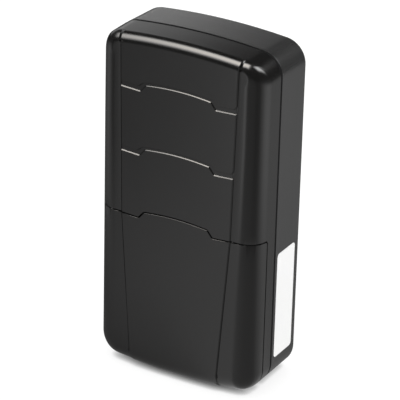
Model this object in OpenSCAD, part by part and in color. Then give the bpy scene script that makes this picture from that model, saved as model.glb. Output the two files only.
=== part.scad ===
// Magnetic GPS tracker with a slide-off battery cover, shown standing upright.
// +Z is up the case, the front faces -Y, and the origin is under the middle of the bottom.
// Inside the modules y is the depth behind the front panels; seat() centres it at the end.

/* [Case] */
// Width over the two side faces
case_w = 56; // [56:0.5:64]
// Height over the crowned top and bottom
case_h = 112; // [111:0.5:124]
// Depth from the front panels to the back face
case_d = 28; // [28:0.5:34]
// Wall of both shells and of the cover
wall = 1.6; // [1.2:0.05:1.65]
// Round between the front and each side
side_round = 6.2; // [4.5:0.1:6.4]
// Round between the front and the top or the bottom
edge_round = 3; // [2:0.1:3.4]
// Round along the back edges
back_round = 2; // [1:0.1:2.4]
// Corner radius seen from the front
corner_r = 7.5; // [6.6:0.1:8.4]
// Radius of the crowned top and bottom
crown_r = 210; // [170:5:300]
// Half width of the flat land that it stands on
foot_half = 5; // [3:0.5:7]
// Depth of the joint between the two shells
part_depth = 12; // [11.8:0.1:12.3]
// Width of the joint's visible groove
part_gap = 0.3; // [0.2:0.05:0.4]
// Fall of the back shell's top towards the back, in degrees
top_slope = 8; // [0:0.5:9]

/* [Front relief] */
// Height of the front panels above the side strips
relief = 0.35; // [0.2:0.05:0.45]
// Width of the strips beside the panels at the top of the case
strip_top_w = 7.9; // [7.4:0.1:8.4]
// Width of these strips at the cover line
strip_mid_w = 9.1; // [8.6:0.1:9.6]
// Width of these strips at the bottom
strip_foot_w = 13; // [11:0.1:14.4]
// Height of the top panel
top_panel_h = 17.8; // [16:0.1:24]
// Width of a line's flats
flat_w = 6; // [5:0.1:7.2]
// Width of the slopes between the flats and the arc
notch_w = 1.8; // [1.5:0.1:3.2]
// Rise from a line's flats to its arc
notch_rise = 2.2; // [1.4:0.1:2.6]
// Rise of the arc in its middle
arc_rise = 0.75; // [0.4:0.05:1]
// Rise of a line's flats towards the sides
flat_rise = 0.35; // [0:0.05:0.6]
// Groove above a line's flats
groove_w = 1.2; // [0.8:0.1:1.6]
// Groove above a line's arc
arc_groove = 0.5; // [0.3:0.05:0.7]

/* [Battery cover] */
// Height of the case above the cover line's flats
upper_h = 59.6; // [58:0.1:59.6]
// How far back the cover reaches along the sides
cover_depth = 6.8; // [6.7:0.05:7]
// Gap round the cover
cover_gap = 0.3; // [0.2:0.05:0.4]
// Gap under the cover where it slides on the neck
slide_gap = 0.3; // [0.25:0.05:0.4]
// Radius of the cover's side corners
cover_corner = 1; // [0.5:0.1:1.4]
// Wall of the neck that the cover slides on
neck_t = 1.3; // [1.1:0.05:1.35]
// Height of the rails inside the cover
rail_h = 0.6; // [0.4:0.05:0.65]
// Width of the rails
rail_w = 0.9; // [0.6:0.05:1.1]

/* [Battery] */
// Space beside the battery tray
tray_side = 3.3; // [3.2:0.1:8]
// Play of the pack over its height
pack_play = 0.5; // [0.3:0.1:6]
// Space between the tray and the magnet pockets
tray_gap = 0.25; // [0.2:0.05:3]
// Height of the pack's top cap
cap_h = 2.2; // [1.6:0.1:3]
// Thickness of the shrink sleeve round the pack
sleeve_t = 0.2; // [0.1:0.05:0.25]
// Wall of the battery tray
tray_t = 1.1; // [0.9:0.05:1.1]

/* [Magnets] */
// Space between a magnet's pocket and the middle of the case
magnet_mid = 2.45; // [2:0.05:5]
// Space between a magnet's pocket and the side wall
magnet_side = 1.85; // [1.2:0.05:4]
// Height of the cup
cup_h = 5; // [3.5:0.1:5]
// Wall and floor of the cup
cup_t = 1.2; // [0.8:0.1:1.6]
// Distance of the upper pair from the top
magnet_drop = 28; // [24:0.5:38]
// Wall and floor of the magnet pockets
pocket_t = 1; // [0.8:0.05:1]

/* [Screws] */
// Radius of the case screws' thread
screw_r = 1; // [0.8:0.05:1.05]
// Radius of their heads
head_r = 1.9; // [1.6:0.05:2]
// Height of their heads
head_h = 1.4; // [1:0.1:1.8]
// Depth of the shoulder under the heads
seat_depth = 18.5; // [16:0.5:20]
// Outer radius of the brass inserts
insert_r = 1.7; // [1.5:0.05:1.75]
// Length of the brass inserts
insert_l = 2.5; // [1.8:0.1:2.6]
// Radius of the bosses and screw tubes
boss_r = 2.7; // [2.6:0.05:2.8]
// Radius of the board screws
pin_screw_r = 0.75; // [0.6:0.05:0.8]
// Radius of the board screws' posts
post_r = 2; // [1.7:0.05:2.1]
// Distance of the board screws from the board's side
post_in = 3.2; // [3:0.1:3.6]

/* [Board] */
// Board thickness
board_t = 1.2; // [0.8:0.1:1.6]
// Depth of the board's front face
board_depth = 12.6; // [12.6:0.05:12.7]
// Space beside the board
board_side = 2.4; // [2:0.1:3]
// Side of the square ceramic antenna
patch_w = 25; // [18:0.5:25]
// Thickness of the ceramic antenna
patch_t = 4; // [2:0.5:5]

/* [Service strip] */
// Depth of the strip that carries the switches
deck_depth = 8; // [7.6:0.05:8.1]
// Thickness of that strip
deck_t = 1.2; // [1:0.05:1.25]
// Height of that strip
strip_h = 5.5; // [5.2:0.1:5.8]
// Travel of the power switch
switch_travel = 2; // [1:0.1:2.2]
// Travel of the reset button
button_travel = 0.3; // [0.15:0.05:0.35]
// Radius of the reset button
button_r = 1.05; // [0.8:0.05:1.1]

/* [Label] */
// Distance of the side label from the joint's groove
label_front = 1.65; // [1.4:0.05:4]
// Distance of the side label from the round of the back edge
label_rear = 1.4; // [1:0.05:3]
// Height of the side label
label_h = 35.5; // [20:0.5:36]
// Thickness of the side label
label_t = 0.12; // [0.1:0.01:0.14]

/* [Hidden] */
$fn = 96;
crown_fn = 720;

// how far a cut runs past what it cuts
over = 1;
// how deep one feature of a piece is sunk into the next, so that they join
root = 0.4;
// running fit of pins, screws and knobs
fit = 0.05;
// space between pieces that only lie beside each other
clear = 0.1;
// space where a loose piece has room
room = 0.2;

shell_black = [0.05, 0.05, 0.055];
board_green = [0.05, 0.3, 0.16];
tin = [0.78, 0.78, 0.76];
gold = [0.85, 0.66, 0.25];
rubber_grey = [0.3, 0.3, 0.32];

// Case values
half_w = case_w / 2;
front_in = relief + wall;
cover_line = case_h - upper_h;
foot_sag = crown_r - sqrt(pow(crown_r, 2) - pow(foot_half, 2));
crown_z = case_h - crown_r;
low_crown_z = crown_r - foot_sag;
corner_x = half_w - corner_r;
corner_up = sqrt(pow(crown_r - corner_r, 2) - pow(corner_x, 2));
corner_z = crown_z + corner_up;
low_corner_z = low_crown_z - corner_up;
back_edge_z = case_h - (case_d - part_depth) * tan(top_slope);
back_edge_share = 0.7;
rim_front = part_depth - part_gap / 2;
rim_back = part_depth + part_gap / 2;
seal_in = 0.9;
seal_deep = 0.65;

// Line and panel values
pad_depth = 1.4;
line_pitch = (upper_h - top_panel_h) / 2;
lines = [cover_line, cover_line + line_pitch, cover_line + 2 * line_pitch];
panel_top_half = half_w - strip_top_w;
panel_mid_half = half_w - strip_mid_w;
panel_foot_half = half_w - strip_foot_w;
notch_half = panel_mid_half - flat_w;
arc_half = notch_half - notch_w;

// Neck, bay and service strip, from the front and from the bottom up
neck_out = wall + slide_gap;
neck_in = neck_out + neck_t;
neck_front = relief + neck_out;
neck_back = relief + neck_in;
web_front = cover_depth + cover_gap;
web_back = web_front + neck_t;
ledge_rise = 5.6;
ledge_z = cover_line + ledge_rise;
tray_z = neck_in + pow(corner_x, 2) / (2 * crown_r) + cover_gap;
bay_z = tray_z + tray_t;
neck_top_z = cover_line - 2 * slide_gap;
neck_top_in = neck_top_z - neck_t;
deck_z = neck_top_in - strip_h;
deck_back = deck_depth + deck_t;
strip_z = (deck_z + neck_top_in) / 2;
tray_top_z = deck_z - room;
bay_top_z = tray_top_z - tray_t;
pocket_depth = case_d - clear - cup_h;
tray_half = half_w - neck_in - tray_side;
bay_half = tray_half - tray_t;
tray_front = neck_back;
tray_back = pocket_depth - pocket_t - tray_gap;
bay_back = tray_back - tray_t;
pack_w = 2 * (bay_half - 2 * room);
pack_z = bay_z;
pack_top_z = bay_top_z - pack_play;
pack_body_z = pack_top_z - cap_h;
pack_front = neck_back + 3 * room;
pack_back = bay_back - room;
cell_t = (pack_back - pack_front - 3 * sleeve_t) / 2;
ring_w = 0.7;
ring_deep = 0.7;
ring_half = bay_half + room;
ring_z = bay_z - ring_w - room;
ring_top_z = neck_top_in + room;
rail_depth = cover_depth - rail_w - 2 * clear;
rail_foot = 14;
rail_len = 10;
rail_pitch = 16;
rail_count = floor((cover_line - rail_foot) / rail_pitch);
rail_places = [for (i = [0:rail_count - 1]) rail_foot + i * rail_pitch];

// Screw values
screw_low_x = half_w - neck_in - boss_r - clear;
screw_high_x = corner_x;
screw_high_z = corner_z;
board_half = half_w - wall - board_side;
board_z = deck_z + room;
board_head = 2.6;
board_top_z = screw_high_z + board_head;
board_l = board_top_z - board_z;
board_back = board_depth + board_t;
case_screw_places = [[-screw_low_x, strip_z], [screw_low_x, strip_z],
    [-screw_high_x, screw_high_z], [screw_high_x, screw_high_z]];
insert_depth = part_depth - clear - insert_l;
screw_tip = insert_depth - 2 * room;
post_x = board_half - post_in;
post_rise = 12;
post_drop = 11;
post_low_z = deck_z + post_rise;
post_high_z = board_top_z - post_drop;
post_places = [for (x = [-post_x, post_x]) for (z = [post_low_z, post_high_z]) [x, z]];
pin_screw_l = 6;
pin_head_r = 1.4;
pin_head_h = 1;

// Magnet, window and label values
magnet_low_share = 0.6;
magnet_low = (strip_z - boss_r) * magnet_low_share;
magnet_high = case_h - magnet_drop;
pocket_r = (half_w - wall - magnet_mid - magnet_side) / 2;
cup_r = pocket_r - pocket_t - fit;
magnet_x = magnet_mid + pocket_r;
magnet_places = [for (x = [-magnet_x, magnet_x]) for (z = [magnet_low, magnet_high]) [x, z]];
window_rise = 2;
window_place = [0, ledge_z + window_rise];
window_r = 2.5;
window_t = 1;
guide_r = 1.5;
label_gap = 0.03;
label_r = 1.2;
label_w = case_d - back_round - label_rear - label_front - rim_back;
label_depth = rim_back + label_front + label_w / 2;
label_mid_z = 27.45;
socket_r = 1.1;

// Board values
notch_low_x = screw_low_x - boss_r - room;
notch_high_x = screw_high_x - boss_r - room;
carrier_half_share = 0.625;
carrier_half = board_half * carrier_half_share;
carrier_h = 7.56;
carrier_d = 4.5;
carrier_t = 1;
carrier_z = board_top_z - carrier_h;
carrier_front = board_depth - carrier_d;
sheet_t = 0.3;
slot_shares = [-0.75, -0.25, 0.25];
patch_gap = 2;
patch_z = carrier_z - patch_gap - patch_w / 2;
patch_face = board_depth - patch_t;
electrode_inset = 2;
electrode_t = 0.1;

// Battery contact values
cell_round_share = 0.4;
finger_pitch = 4;
finger_half = 6;
finger_t = 0.8;
finger_w_share = 0.275;
finger_w = (pack_back - board_back) * finger_w_share;
finger_depth = board_back + 3 * room;
finger_up = 2.5;
connector_x = -(screw_low_x - boss_r - 2 * room - finger_half);
finger_places = [connector_x - finger_pitch, connector_x, connector_x + finger_pitch];
pad_w = 2.4;
pad_t = 0.8;
pad_top_z = pack_top_z - fit;
connector_z = board_z + room;
connector_h = 4;
connector_back = finger_depth + finger_w + 4 * room;

// Service strip values, [x, width, height] on the strip's middle
port_gap = 0.9;
port_w = 7.5;
port = [-(screw_low_x - boss_r - port_gap - port_w / 2), port_w, 2.9];
port_front = deck_depth - 1.1;
port_wall = 0.3;
port_tongue = [5.2, 0.7];
switch_w = 8;
switch_x = port[0] + port_w / 2 + 2 * room + switch_w / 2;
switch_h = 3.6;
switch_front = deck_back + room;
stem_w = 1.6;
stem_h = 1.2;
knob_w = 2.4;
knob_h = 2;
knob_front = deck_depth - 1.4;
stem_back = switch_front + 0.7;
button_flange_r = 1.6;
button_gap = 0.9;
button_x = switch_x + switch_w / 2 + button_gap + button_flange_r;
flange_t = 0.4;
reset_w = 3;
reset_t = 1.5;
led_pitch = 1.8;
led_gap = 1.1;
led_last = screw_low_x - boss_r - led_gap;
led_places = [led_last - 2 * led_pitch, led_last - led_pitch, led_last];
led_w = 1;
led_h = 1.6;
led_t = 0.6;
pipe_r = 0.75;
pipe_bar_t = 0.6;

// Card and socket values
sim_gap = 1;
sim_w = 10.2;
sim_x = connector_x + finger_half + sim_gap + sim_w / 2;
sim_rise = 0.7;
sim_z = board_z + sim_rise;
sim_l = 12;
sim_t = 1.5;
sim_wall = 0.3;
card_w = 8.8;
card_l = 12.3;
card_t = 0.67;
card_depth = board_back + sim_wall + fit;

// Chips as [middle x, middle above the board's foot, width, height, thickness]
controller_in = 12;
controller = [controller_in - board_half, 17.3, 10, 10, 1.2];
sensor = [0, 17.8, 3, 3, 1];
quartz = [-3.5, 23.6, 3.2, 2.5, 0.8];
modem_drop = 18;
modem_in = 17;
modem = [modem_in - board_half, board_l - modem_drop, 23, 21, 0.8];
modem_can = [modem[0], modem[1], 21, 19, 2.2];
gnss_drop = 16;
gnss_in = 11;
gnss_can = [board_half - gnss_in, board_l - gnss_drop, 10, 10, 2];
memory = [6, 27.5, 6, 5, 0.8];
coil_in = 10;
coil = [board_half - coil_in, 26.8, 5, 5, 1.4];
coil_core_r = 2.1;
coil_t = 3;
light_eye = [0, window_place[1] - board_z, 2, 2, 0.8];
can_wall = 0.2;
capacitor_r = 3.15;
capacitor_h = 5.5;
capacitor_rise = 22.8;
capacitor_groove = 1;
capacitor_in = 10;
capacitor_pitch = 7.5;
capacitor_x = capacitor_in - board_half;
capacitor_z = board_z + capacitor_rise;
capacitor_places = [[capacitor_x, capacitor_z], [capacitor_x + capacitor_pitch, capacitor_z]];
passive = [0, 0, 1.6, 0.8, 0.7];
passive_rows = [[5, 16], [5, 18.5], [5, 21], [5, 23.5]];
passive_count = 5;
passive_pitch = 2.6;

// Shapes shared by the pieces

module seat() {
    translate([0, -case_d / 2, 0]) children();
}

module along_depth(y0, y1) {
    translate([0, y1, 0]) rotate([90, 0, 0]) linear_extrude(height = y1 - y0) children();
}

module along_side(x0, x1) {
    translate([x0, 0, 0]) rotate([90, 0, 90]) linear_extrude(height = x1 - x0) children();
}

module block(low, high) {
    translate(low) cube(high - low);
}

// a rod along the depth at place [x, z]
module rod(place, r, y0, y1) {
    translate([place[0], y1, place[1]]) rotate([90, 0, 0]) cylinder(r = r, h = y1 - y0);
}

module rounded_rect(w, h, r) {
    translate([-w / 2 + r, -h / 2]) square([w - 2 * r, h]);
    translate([-w / 2, -h / 2 + r]) square([w, h - 2 * r]);
    for (x = [-1, 1]) for (y = [-1, 1]) translate([x * (w / 2 - r), y * (h / 2 - r)]) circle(r);
}

// the case seen from above: wide rounds at the front, small ones at the back
module plan_outline(inset, front, back) {
    hw = half_w - inset;
    rf = side_round - inset;
    rb = max(back_round - inset, clear);
    translate([-hw + rf, front]) square([2 * (hw - rf), back - front - rb]);
    translate([-hw, front + rf]) square([2 * hw, back - front - rf - rb]);
    translate([-hw + rb, back - 2 * rb]) square([2 * (hw - rb), 2 * rb]);
    for (side = [-1, 1]) {
        translate([side * (hw - rf), front + rf]) circle(rf);
        translate([side * (hw - rb), back - rb]) circle(rb);
    }
}

// the waste that leaves the two upper corners round, seen from the front, moved out a little by shift
module corner_waste(inset, shift = 0) {
    r = corner_r - inset;
    start = corner_x * (1 + r / (crown_r - corner_r));
    for (side = [0, 1]) mirror([side, 0]) translate([shift, shift]) difference() {
        translate([start, corner_z]) square([corner_r + over, corner_r + over]);
        translate([corner_x, corner_z]) circle(r);
    }
}

// a disc with the crown's radius and rounded rims, which cuts the top of the case
module crown_disc(inset, front, back, round_front, round_back) {
    r = crown_r - inset;
    long = back - front;
    translate([0, front, crown_z]) rotate([-90, 0, 0]) rotate_extrude($fn = crown_fn) {
        translate([0, round_front]) square([r, long - round_front - round_back]);
        if (round_front > 0) {
            square([r - round_front, long - round_back]);
            translate([r - round_front, round_front]) circle(round_front);
        }
        if (round_back > 0) {
            translate([0, long - 2 * round_back]) square([r - round_back, 2 * round_back]);
            translate([r - round_back, long - round_back]) circle(round_back);
        }
    }
}

// what is made for the top, put at the bottom
module at_bottom() {
    translate([0, 0, case_h - foot_sag]) mirror([0, 0, 1]) children();
}

// what is made for a level top, laid on the back shell's falling top
module on_slope() {
    translate([0, part_depth, case_h]) rotate([-top_slope, 0, 0]) translate([0, -part_depth, -case_h])
        children();
}

// the case's front part as one solid, its skin moved in by inset
module front_form(inset, front, back) {
    rim = max(edge_round - inset, room);
    difference() {
        intersection() {
            translate([0, 0, inset]) linear_extrude(height = case_h) plan_outline(inset, front, case_d);
            crown_disc(inset, front, back, rim, 0);
            at_bottom() crown_disc(inset, front, back, rim, 0);
        }
        along_depth(front - over, back + over) corner_waste(inset);
        at_bottom() along_depth(front - over, back + over) corner_waste(inset);
    }
}

// the same outline with square rims, for rings and seals
module outline(inset, y0, y1) {
    difference() {
        intersection() {
            block([-half_w + inset, y0, inset], [half_w - inset, y1, case_h]);
            crown_disc(inset, y0 - over, y1 + over, 0, 0);
            at_bottom() crown_disc(inset, y0 - over, y1 + over, 0, 0);
        }
        along_depth(y0 - over, y1 + over) corner_waste(inset);
        at_bottom() along_depth(y0 - over, y1 + over) corner_waste(inset);
    }
}

// the back part as one solid behind depth y0, with the falling top
module back_form(inset, y0) {
    long = case_d + over;
    rim = max(back_round - inset, 0);
    difference() {
        intersection() {
            translate([0, 0, inset]) linear_extrude(height = case_h)
                plan_outline(inset, relief + inset, case_d - inset);
            on_slope() crown_disc(inset, 0, case_d + case_d, 0, 0);
            at_bottom() crown_disc(inset, 0, case_d - inset, 0, rim);
            block([-half_w, y0, 0], [half_w, long, case_h + over]);
        }
        on_slope() along_depth(0, case_d + long) corner_waste(inset, fit / 2);
        at_bottom() along_depth(0, long) corner_waste(inset);
    }
}

// the waste that breaks the back shell's upper back edge
module back_edge_waste() {
    break_w = back_round * back_edge_share;
    along_side(-half_w - over, half_w + over) polygon([
        [case_d - break_w - over, back_edge_z + over], [case_d + over, back_edge_z + over],
        [case_d + over, back_edge_z - break_w - over]]);
}

// everything under a scalloped line: flats that rise outwards, and an arc between two short slopes
module under_line(z, lift, grow, rise) {
    foot = notch_half + grow;
    shoulder = arc_half + grow;
    side_z = z + lift + flat_rise;
    arc_z = z + lift + rise;
    arc_r = (pow(shoulder, 2) + pow(arc_rise, 2)) / (2 * arc_rise);
    polygon([[-case_w, -over], [case_w, -over], [case_w, side_z], [panel_mid_half, side_z],
        [foot, z + lift], [shoulder, arc_z], [-shoulder, arc_z], [-foot, z + lift],
        [-panel_mid_half, side_z], [-case_w, side_z]]);
    intersection() {
        translate([0, arc_z + arc_rise - arc_r]) circle(r = arc_r, $fn = crown_fn);
        translate([-shoulder, arc_z - root]) square([2 * shoulder, root + arc_rise]);
    }
}

// the central panels' outline over the front shell, and over the cover
module panel_strip() {
    polygon([[-panel_mid_half, cover_line], [panel_mid_half, cover_line],
        [panel_top_half, case_h + over], [-panel_top_half, case_h + over]]);
}

module cover_strip() {
    top = cover_line + notch_rise + arc_rise;
    polygon([[-panel_foot_half, -over], [panel_foot_half, -over],
        [panel_mid_half, top], [-panel_mid_half, top]]);
}

// one raised panel of the front shell, from the line under it to the line over it
module panel_outline(i) {
    difference() {
        intersection() {
            panel_strip();
            if (i < 2) under_line(lines[i + 1], 0, 0, notch_rise);
        }
        if (i == 0) under_line(lines[0], cover_gap / 2, 0, notch_rise);
        else under_line(lines[i], groove_w, groove_w - arc_groove, notch_rise - groove_w + arc_groove);
    }
}

// a raised panel, rounded with the case's top or bottom edge
module raised(y_front) {
    intersection() {
        along_depth(y_front, pad_depth) children();
        crown_disc(0, 0, part_depth, edge_round, 0);
        at_bottom() crown_disc(0, 0, part_depth, edge_round, 0);
        block([-half_w, 0, 0], [half_w, part_depth, case_h + over]);
    }
}

// the waste outside the round at the cover's side corners
module side_corner(r, y, z) {
    difference() {
        translate([y - r, z - r]) square([r + over, r + over]);
        translate([y - r, z - r]) circle(r);
    }
}

// all that the cover takes up, drawn back by gap from its edges
module cover_zone(gap) {
    side_z = cover_line + flat_rise - gap;
    back = cover_depth - gap + cover_gap / 2;
    r = cover_corner + cover_gap / 2 - gap;
    difference() {
        along_depth(-over, back) under_line(cover_line, -gap, 0, notch_rise);
        for (side = [0, 1]) mirror([side, 0, 0])
            along_side(half_w - side_round, half_w + over) side_corner(r, back, side_z);
    }
}

// Case

module screw_hole(place, y0, y1) {
    rod(place, screw_r + fit, y0, y1);
}

// the frame under the cover: a front plate with the bay's mouth, and the walls that the cover slides on
module neck() {
    difference() {
        intersection() {
            front_form(neck_out, neck_front, part_depth);
            block([-half_w, 0, 0], [half_w, web_back, ledge_z]);
        }
        front_form(neck_in, neck_back, part_depth);
        block([-bay_half, 0, bay_z], [bay_half, web_back + over, neck_top_in]);
        for (side = [0, 1]) mirror([side, 0, 0])
            block([half_w - neck_out - rail_h, rail_depth, 0], [half_w, rail_depth + rail_w, ledge_z]);
        bay_ring(ring_w + fit, neck_front - over, neck_front + ring_deep);
    }
}

// a rectangular ring round the bay's mouth
module bay_ring(w, y0, y1) {
    half = ring_half + w;
    difference() {
        block([-half, y0, ring_z + ring_w - w], [half, y1, ring_top_z + w]);
        block([-ring_half, y0 - over, ring_z + ring_w], [ring_half, y1 + over, ring_top_z]);
    }
}

module front_shell() color(shell_black) {
    tongue_half = 8;
    tongue_t = 1.1;
    tongue_l = 2.5;
    difference() {
        union() {
            difference() {
                front_form(0, relief, rim_front);
                front_form(wall, front_in, part_depth + over);
            }
            for (i = [0, 1, 2]) raised(0) panel_outline(i);
        }
        cover_zone(-cover_gap / 2);
        difference() {
            outline(seal_in, rim_front - seal_deep, part_depth);
            outline(wall + over, 0, part_depth + over);
        }
    }
    difference() {
        union() {
            neck();
            // the web that joins the neck to the skin, all round
            difference() {
                intersection() {
                    outline(wall - root, web_front, web_back);
                    block([-half_w, 0, 0], [half_w, part_depth, ledge_z]);
                }
                outline(neck_in, 0, part_depth);
            }
            // what joins the neck's plate to the skin above the cover
            difference() {
                along_depth(front_in - root, neck_front + root) intersection() {
                    under_line(ledge_z - notch_rise, 0, 0, 0);
                    translate([-corner_x, 0]) square([2 * corner_x, case_h]);
                }
                along_depth(0, part_depth) under_line(cover_line, cover_gap / 2, 0, notch_rise);
            }
            // the ceiling over the service strip, and the strip's deck
            intersection() {
                front_form(neck_in - root, neck_back - root, part_depth);
                union() {
                    block([-half_w, 0, neck_top_in], [half_w, deck_back, neck_top_z]);
                    block([-half_w, deck_depth, deck_z], [half_w, deck_back, neck_top_in + root]);
                }
            }
            for (p = case_screw_places)
                rod(p, boss_r, p[1] < ledge_z ? deck_depth : front_in - root, rim_front - clear);
            for (p = post_places) rod(p, post_r, front_in - root, board_depth);
            // the tongue that hooks into the back shell's bottom
            block([-tongue_half, web_back - root, wall - root],
                [tongue_half, rim_front - seal_deep - clear, wall + room + tongue_t]);
            block([-tongue_half, web_back - root, wall + room],
                [tongue_half, rim_back + tongue_l, wall + room + tongue_t]);
        }
        for (p = case_screw_places) {
            rod(p, insert_r + fit / 2, insert_depth, part_depth);
            screw_hole(p, screw_tip - clear, part_depth);
        }
        for (p = post_places) rod(p, pin_screw_r + fit, board_back - pin_screw_l - clear, board_depth + over);
        switch_window();
        port_window();
        rod([button_x, strip_z], button_r + fit, deck_depth - over, deck_back + over);
        for (x = led_places) rod([x, strip_z], pipe_r + fit, deck_depth - over, deck_back + over);
    }
}

module battery_cover() color(shell_black) {
    difference() {
        intersection() {
            union() {
                front_form(0, relief, part_depth);
                raised(0) cover_strip();
            }
            cover_zone(cover_gap / 2);
        }
        front_form(wall, front_in, part_depth + over);
    }
    for (side = [0, 1]) mirror([side, 0, 0]) for (z = rail_places)
        block([half_w - wall - slide_gap - rail_h + clear, rail_depth + clear, z],
            [half_w - wall + root, rail_depth + rail_w - clear, z + rail_len]);
}

module back_shell() color(shell_black) {
    difference() {
        union() {
            difference() {
                back_form(0, rim_back);
                back_form(wall, part_depth - over);
                back_edge_waste();
            }
            for (p = case_screw_places) rod(p, boss_r, rim_back, case_d - wall + root);
            for (p = magnet_places)
                rod(p, cup_r + fit + pocket_t, pocket_depth - pocket_t, case_d - wall + root);
        }
        difference() {
            outline(seal_in, part_depth, rim_back + seal_deep);
            outline(wall + over, 0, case_d);
        }
        for (p = case_screw_places) {
            screw_hole(p, part_depth, case_d);
            rod(p, head_r + room, seat_depth, case_d + over);
        }
        for (p = magnet_places) rod(p, cup_r + fit, pocket_depth, case_d + over);
        rod(window_place, window_r + fit, case_d - window_t, case_d + over);
        rod(window_place, guide_r + fit, case_d - wall - over, case_d);
        along_side(half_w - label_t - label_gap, half_w + over) label_outline(clear);
    }
}

module case_gasket() color(rubber_grey) difference() {
    outline(seal_in + fit, rim_front - seal_deep + fit, rim_back + seal_deep - fit);
    outline(wall, 0, case_d);
}

module label_outline(grow) {
    translate([label_depth, label_mid_z])
        rounded_rect(label_w + 2 * grow, label_h + 2 * grow, label_r + grow);
}

module side_label() color("white")
    along_side(half_w - label_t - label_gap, half_w - label_gap) label_outline(0);

module case_screws() color(tin) for (p = case_screw_places) difference() {
    union() {
        rod(p, screw_r, screw_tip, seat_depth);
        rod(p, head_r, seat_depth, seat_depth + head_h);
    }
    rod(p, socket_r, seat_depth + head_h / 2, seat_depth + head_h + over, $fn = 6);
}

module insert_nuts() color(gold) for (p = case_screw_places) difference() {
    rod(p, insert_r, insert_depth + fit, rim_front - clear);
    rod(p, screw_r + fit / 2, insert_depth - over, part_depth);
}

module magnet_cups() color(tin) for (p = magnet_places) difference() {
    rod(p, cup_r, pocket_depth, case_d - clear);
    rod(p, cup_r - cup_t, pocket_depth + cup_t, case_d);
}

module magnets() color([0.62, 0.62, 0.64]) for (p = magnet_places)
    rod(p, cup_r - cup_t - clear, pocket_depth + cup_t, case_d - clear - fit);

module light_window() color([0.9, 0.95, 1]) {
    rod(window_place, window_r, case_d - window_t, case_d - fit);
    rod(window_place, guide_r, board_back + light_eye[4] + room, case_d - window_t + root);
}

// Battery

module battery_tray() color([0.1, 0.1, 0.11]) difference() {
    block([-tray_half, tray_front, tray_z], [tray_half, tray_back, tray_top_z]);
    block([-bay_half, tray_front - over, bay_z], [bay_half, bay_back, bay_top_z]);
    block([connector_x - finger_half, finger_depth - clear - root, bay_top_z - over],
        [connector_x + finger_half, finger_depth + finger_w + clear + root, tray_top_z + over]);
    // the slit through which the card is pushed up into its socket
    block([sim_x - sim_w / 2, card_depth - room, bay_top_z - over],
        [sim_x + sim_w / 2, card_depth + card_t + room, tray_top_z + over]);
}

module battery_cells() color([0.72, 0.74, 0.76]) for (i = [0, 1])
    translate([0, pack_front + sleeve_t + i * (cell_t + sleeve_t), 0])
        linear_up(pack_z + sleeve_t, pack_body_z - sleeve_t) cell_outline();

module linear_up(z0, z1) {
    translate([0, 0, z0]) linear_extrude(height = z1 - z0) children();
}

// a flat cell's section, with round sides
module cell_outline() {
    r = cell_t * cell_round_share;
    translate([0, cell_t / 2]) rounded_rect(pack_w - 2 * sleeve_t - 2 * fit, cell_t, r);
}

module pack_sleeve() color([0.07, 0.2, 0.42]) difference() {
    pack_block(pack_z, pack_body_z, 0);
    pack_block(pack_z - over, pack_top_z, sleeve_t);
}

module pack_block(z0, z1, inset) {
    block([-pack_w / 2 + inset, pack_front + inset, z0], [pack_w / 2 - inset, pack_back - inset, z1]);
}

module pack_cap() color([0.12, 0.12, 0.12]) difference() {
    pack_block(pack_body_z, pack_top_z, fit);
    for (x = finger_places) pad_block(x, 0, pack_top_z + over);
}

module pad_block(x, inset, z1) {
    block([x - pad_w / 2 + inset, finger_depth - root + inset, pack_top_z - pad_t],
        [x + pad_w / 2 - inset, finger_depth + finger_w + root - inset, z1]);
}

module pack_pads() color(gold) for (x = finger_places) pad_block(x, fit, pad_top_z);

module bay_gasket() color(rubber_grey) bay_ring(ring_w - fit, front_in + clear, neck_front + ring_deep - fit);

module battery_connector() color([0.92, 0.9, 0.84]) difference() {
    block([connector_x - finger_half, board_back, connector_z],
        [connector_x + finger_half, connector_back, connector_z + connector_h]);
    for (x = finger_places) finger(x, fit, connector_z - over);
}

module finger(x, grow, z0) {
    block([x - finger_t / 2 - grow, finger_depth - grow, z0],
        [x + finger_t / 2 + grow, finger_depth + finger_w + grow, connector_z + finger_up + grow]);
}

module connector_fingers() color(gold) for (x = finger_places) finger(x, 0, pad_top_z);

// Electronics

// a chip on the board's front face
module front_chip(c) {
    block([c[0] - c[2] / 2, board_depth - c[4], board_z + c[1] - c[3] / 2],
        [c[0] + c[2] / 2, board_depth, board_z + c[1] + c[3] / 2]);
}

// a chip on the board's back, on top of what is already there
module back_chip(c, below, inset) {
    block([c[0] - c[2] / 2 + inset, board_back + below, board_z + c[1] - c[3] / 2 + inset],
        [c[0] + c[2] / 2 - inset, board_back + below + c[4] - inset, board_z + c[1] + c[3] / 2 - inset]);
}

// an open tin can over chips on the board's back
module back_can(c, below) {
    difference() {
        back_chip(c, below, 0);
        translate([0, -over, 0]) back_chip(c, below, can_wall);
        back_chip(c, below, can_wall);
    }
}

module main_board() color(board_green) difference() {
    block([-board_half, board_depth, board_z], [board_half, board_back, board_top_z]);
    for (side = [0, 1]) mirror([side, 0, 0]) {
        block([notch_low_x, 0, 0], [half_w, case_d, strip_z + boss_r + room]);
        block([notch_high_x, 0, screw_high_z - boss_r - room], [half_w, case_d, case_h]);
    }
    for (p = post_places) rod(p, pin_screw_r + clear, board_depth - over, board_back + over);
}

module board_screws() color(tin) for (p = post_places) difference() {
    union() {
        rod(p, pin_screw_r, board_back - pin_screw_l, board_back);
        rod(p, pin_head_r, board_back, board_back + pin_head_h);
    }
    rod(p, pin_screw_r, board_back + pin_head_h / 2, board_back + pin_head_h + over, $fn = 6);
}

module patch_antenna() color([0.85, 0.8, 0.66])
    block([-patch_w / 2, patch_face, patch_z - patch_w / 2],
        [patch_w / 2, board_depth, patch_z + patch_w / 2]);

module patch_electrode() color(tin) {
    half = patch_w / 2 - electrode_inset;
    block([-half, patch_face - electrode_t, patch_z - half], [half, patch_face, patch_z + half]);
}

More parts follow.
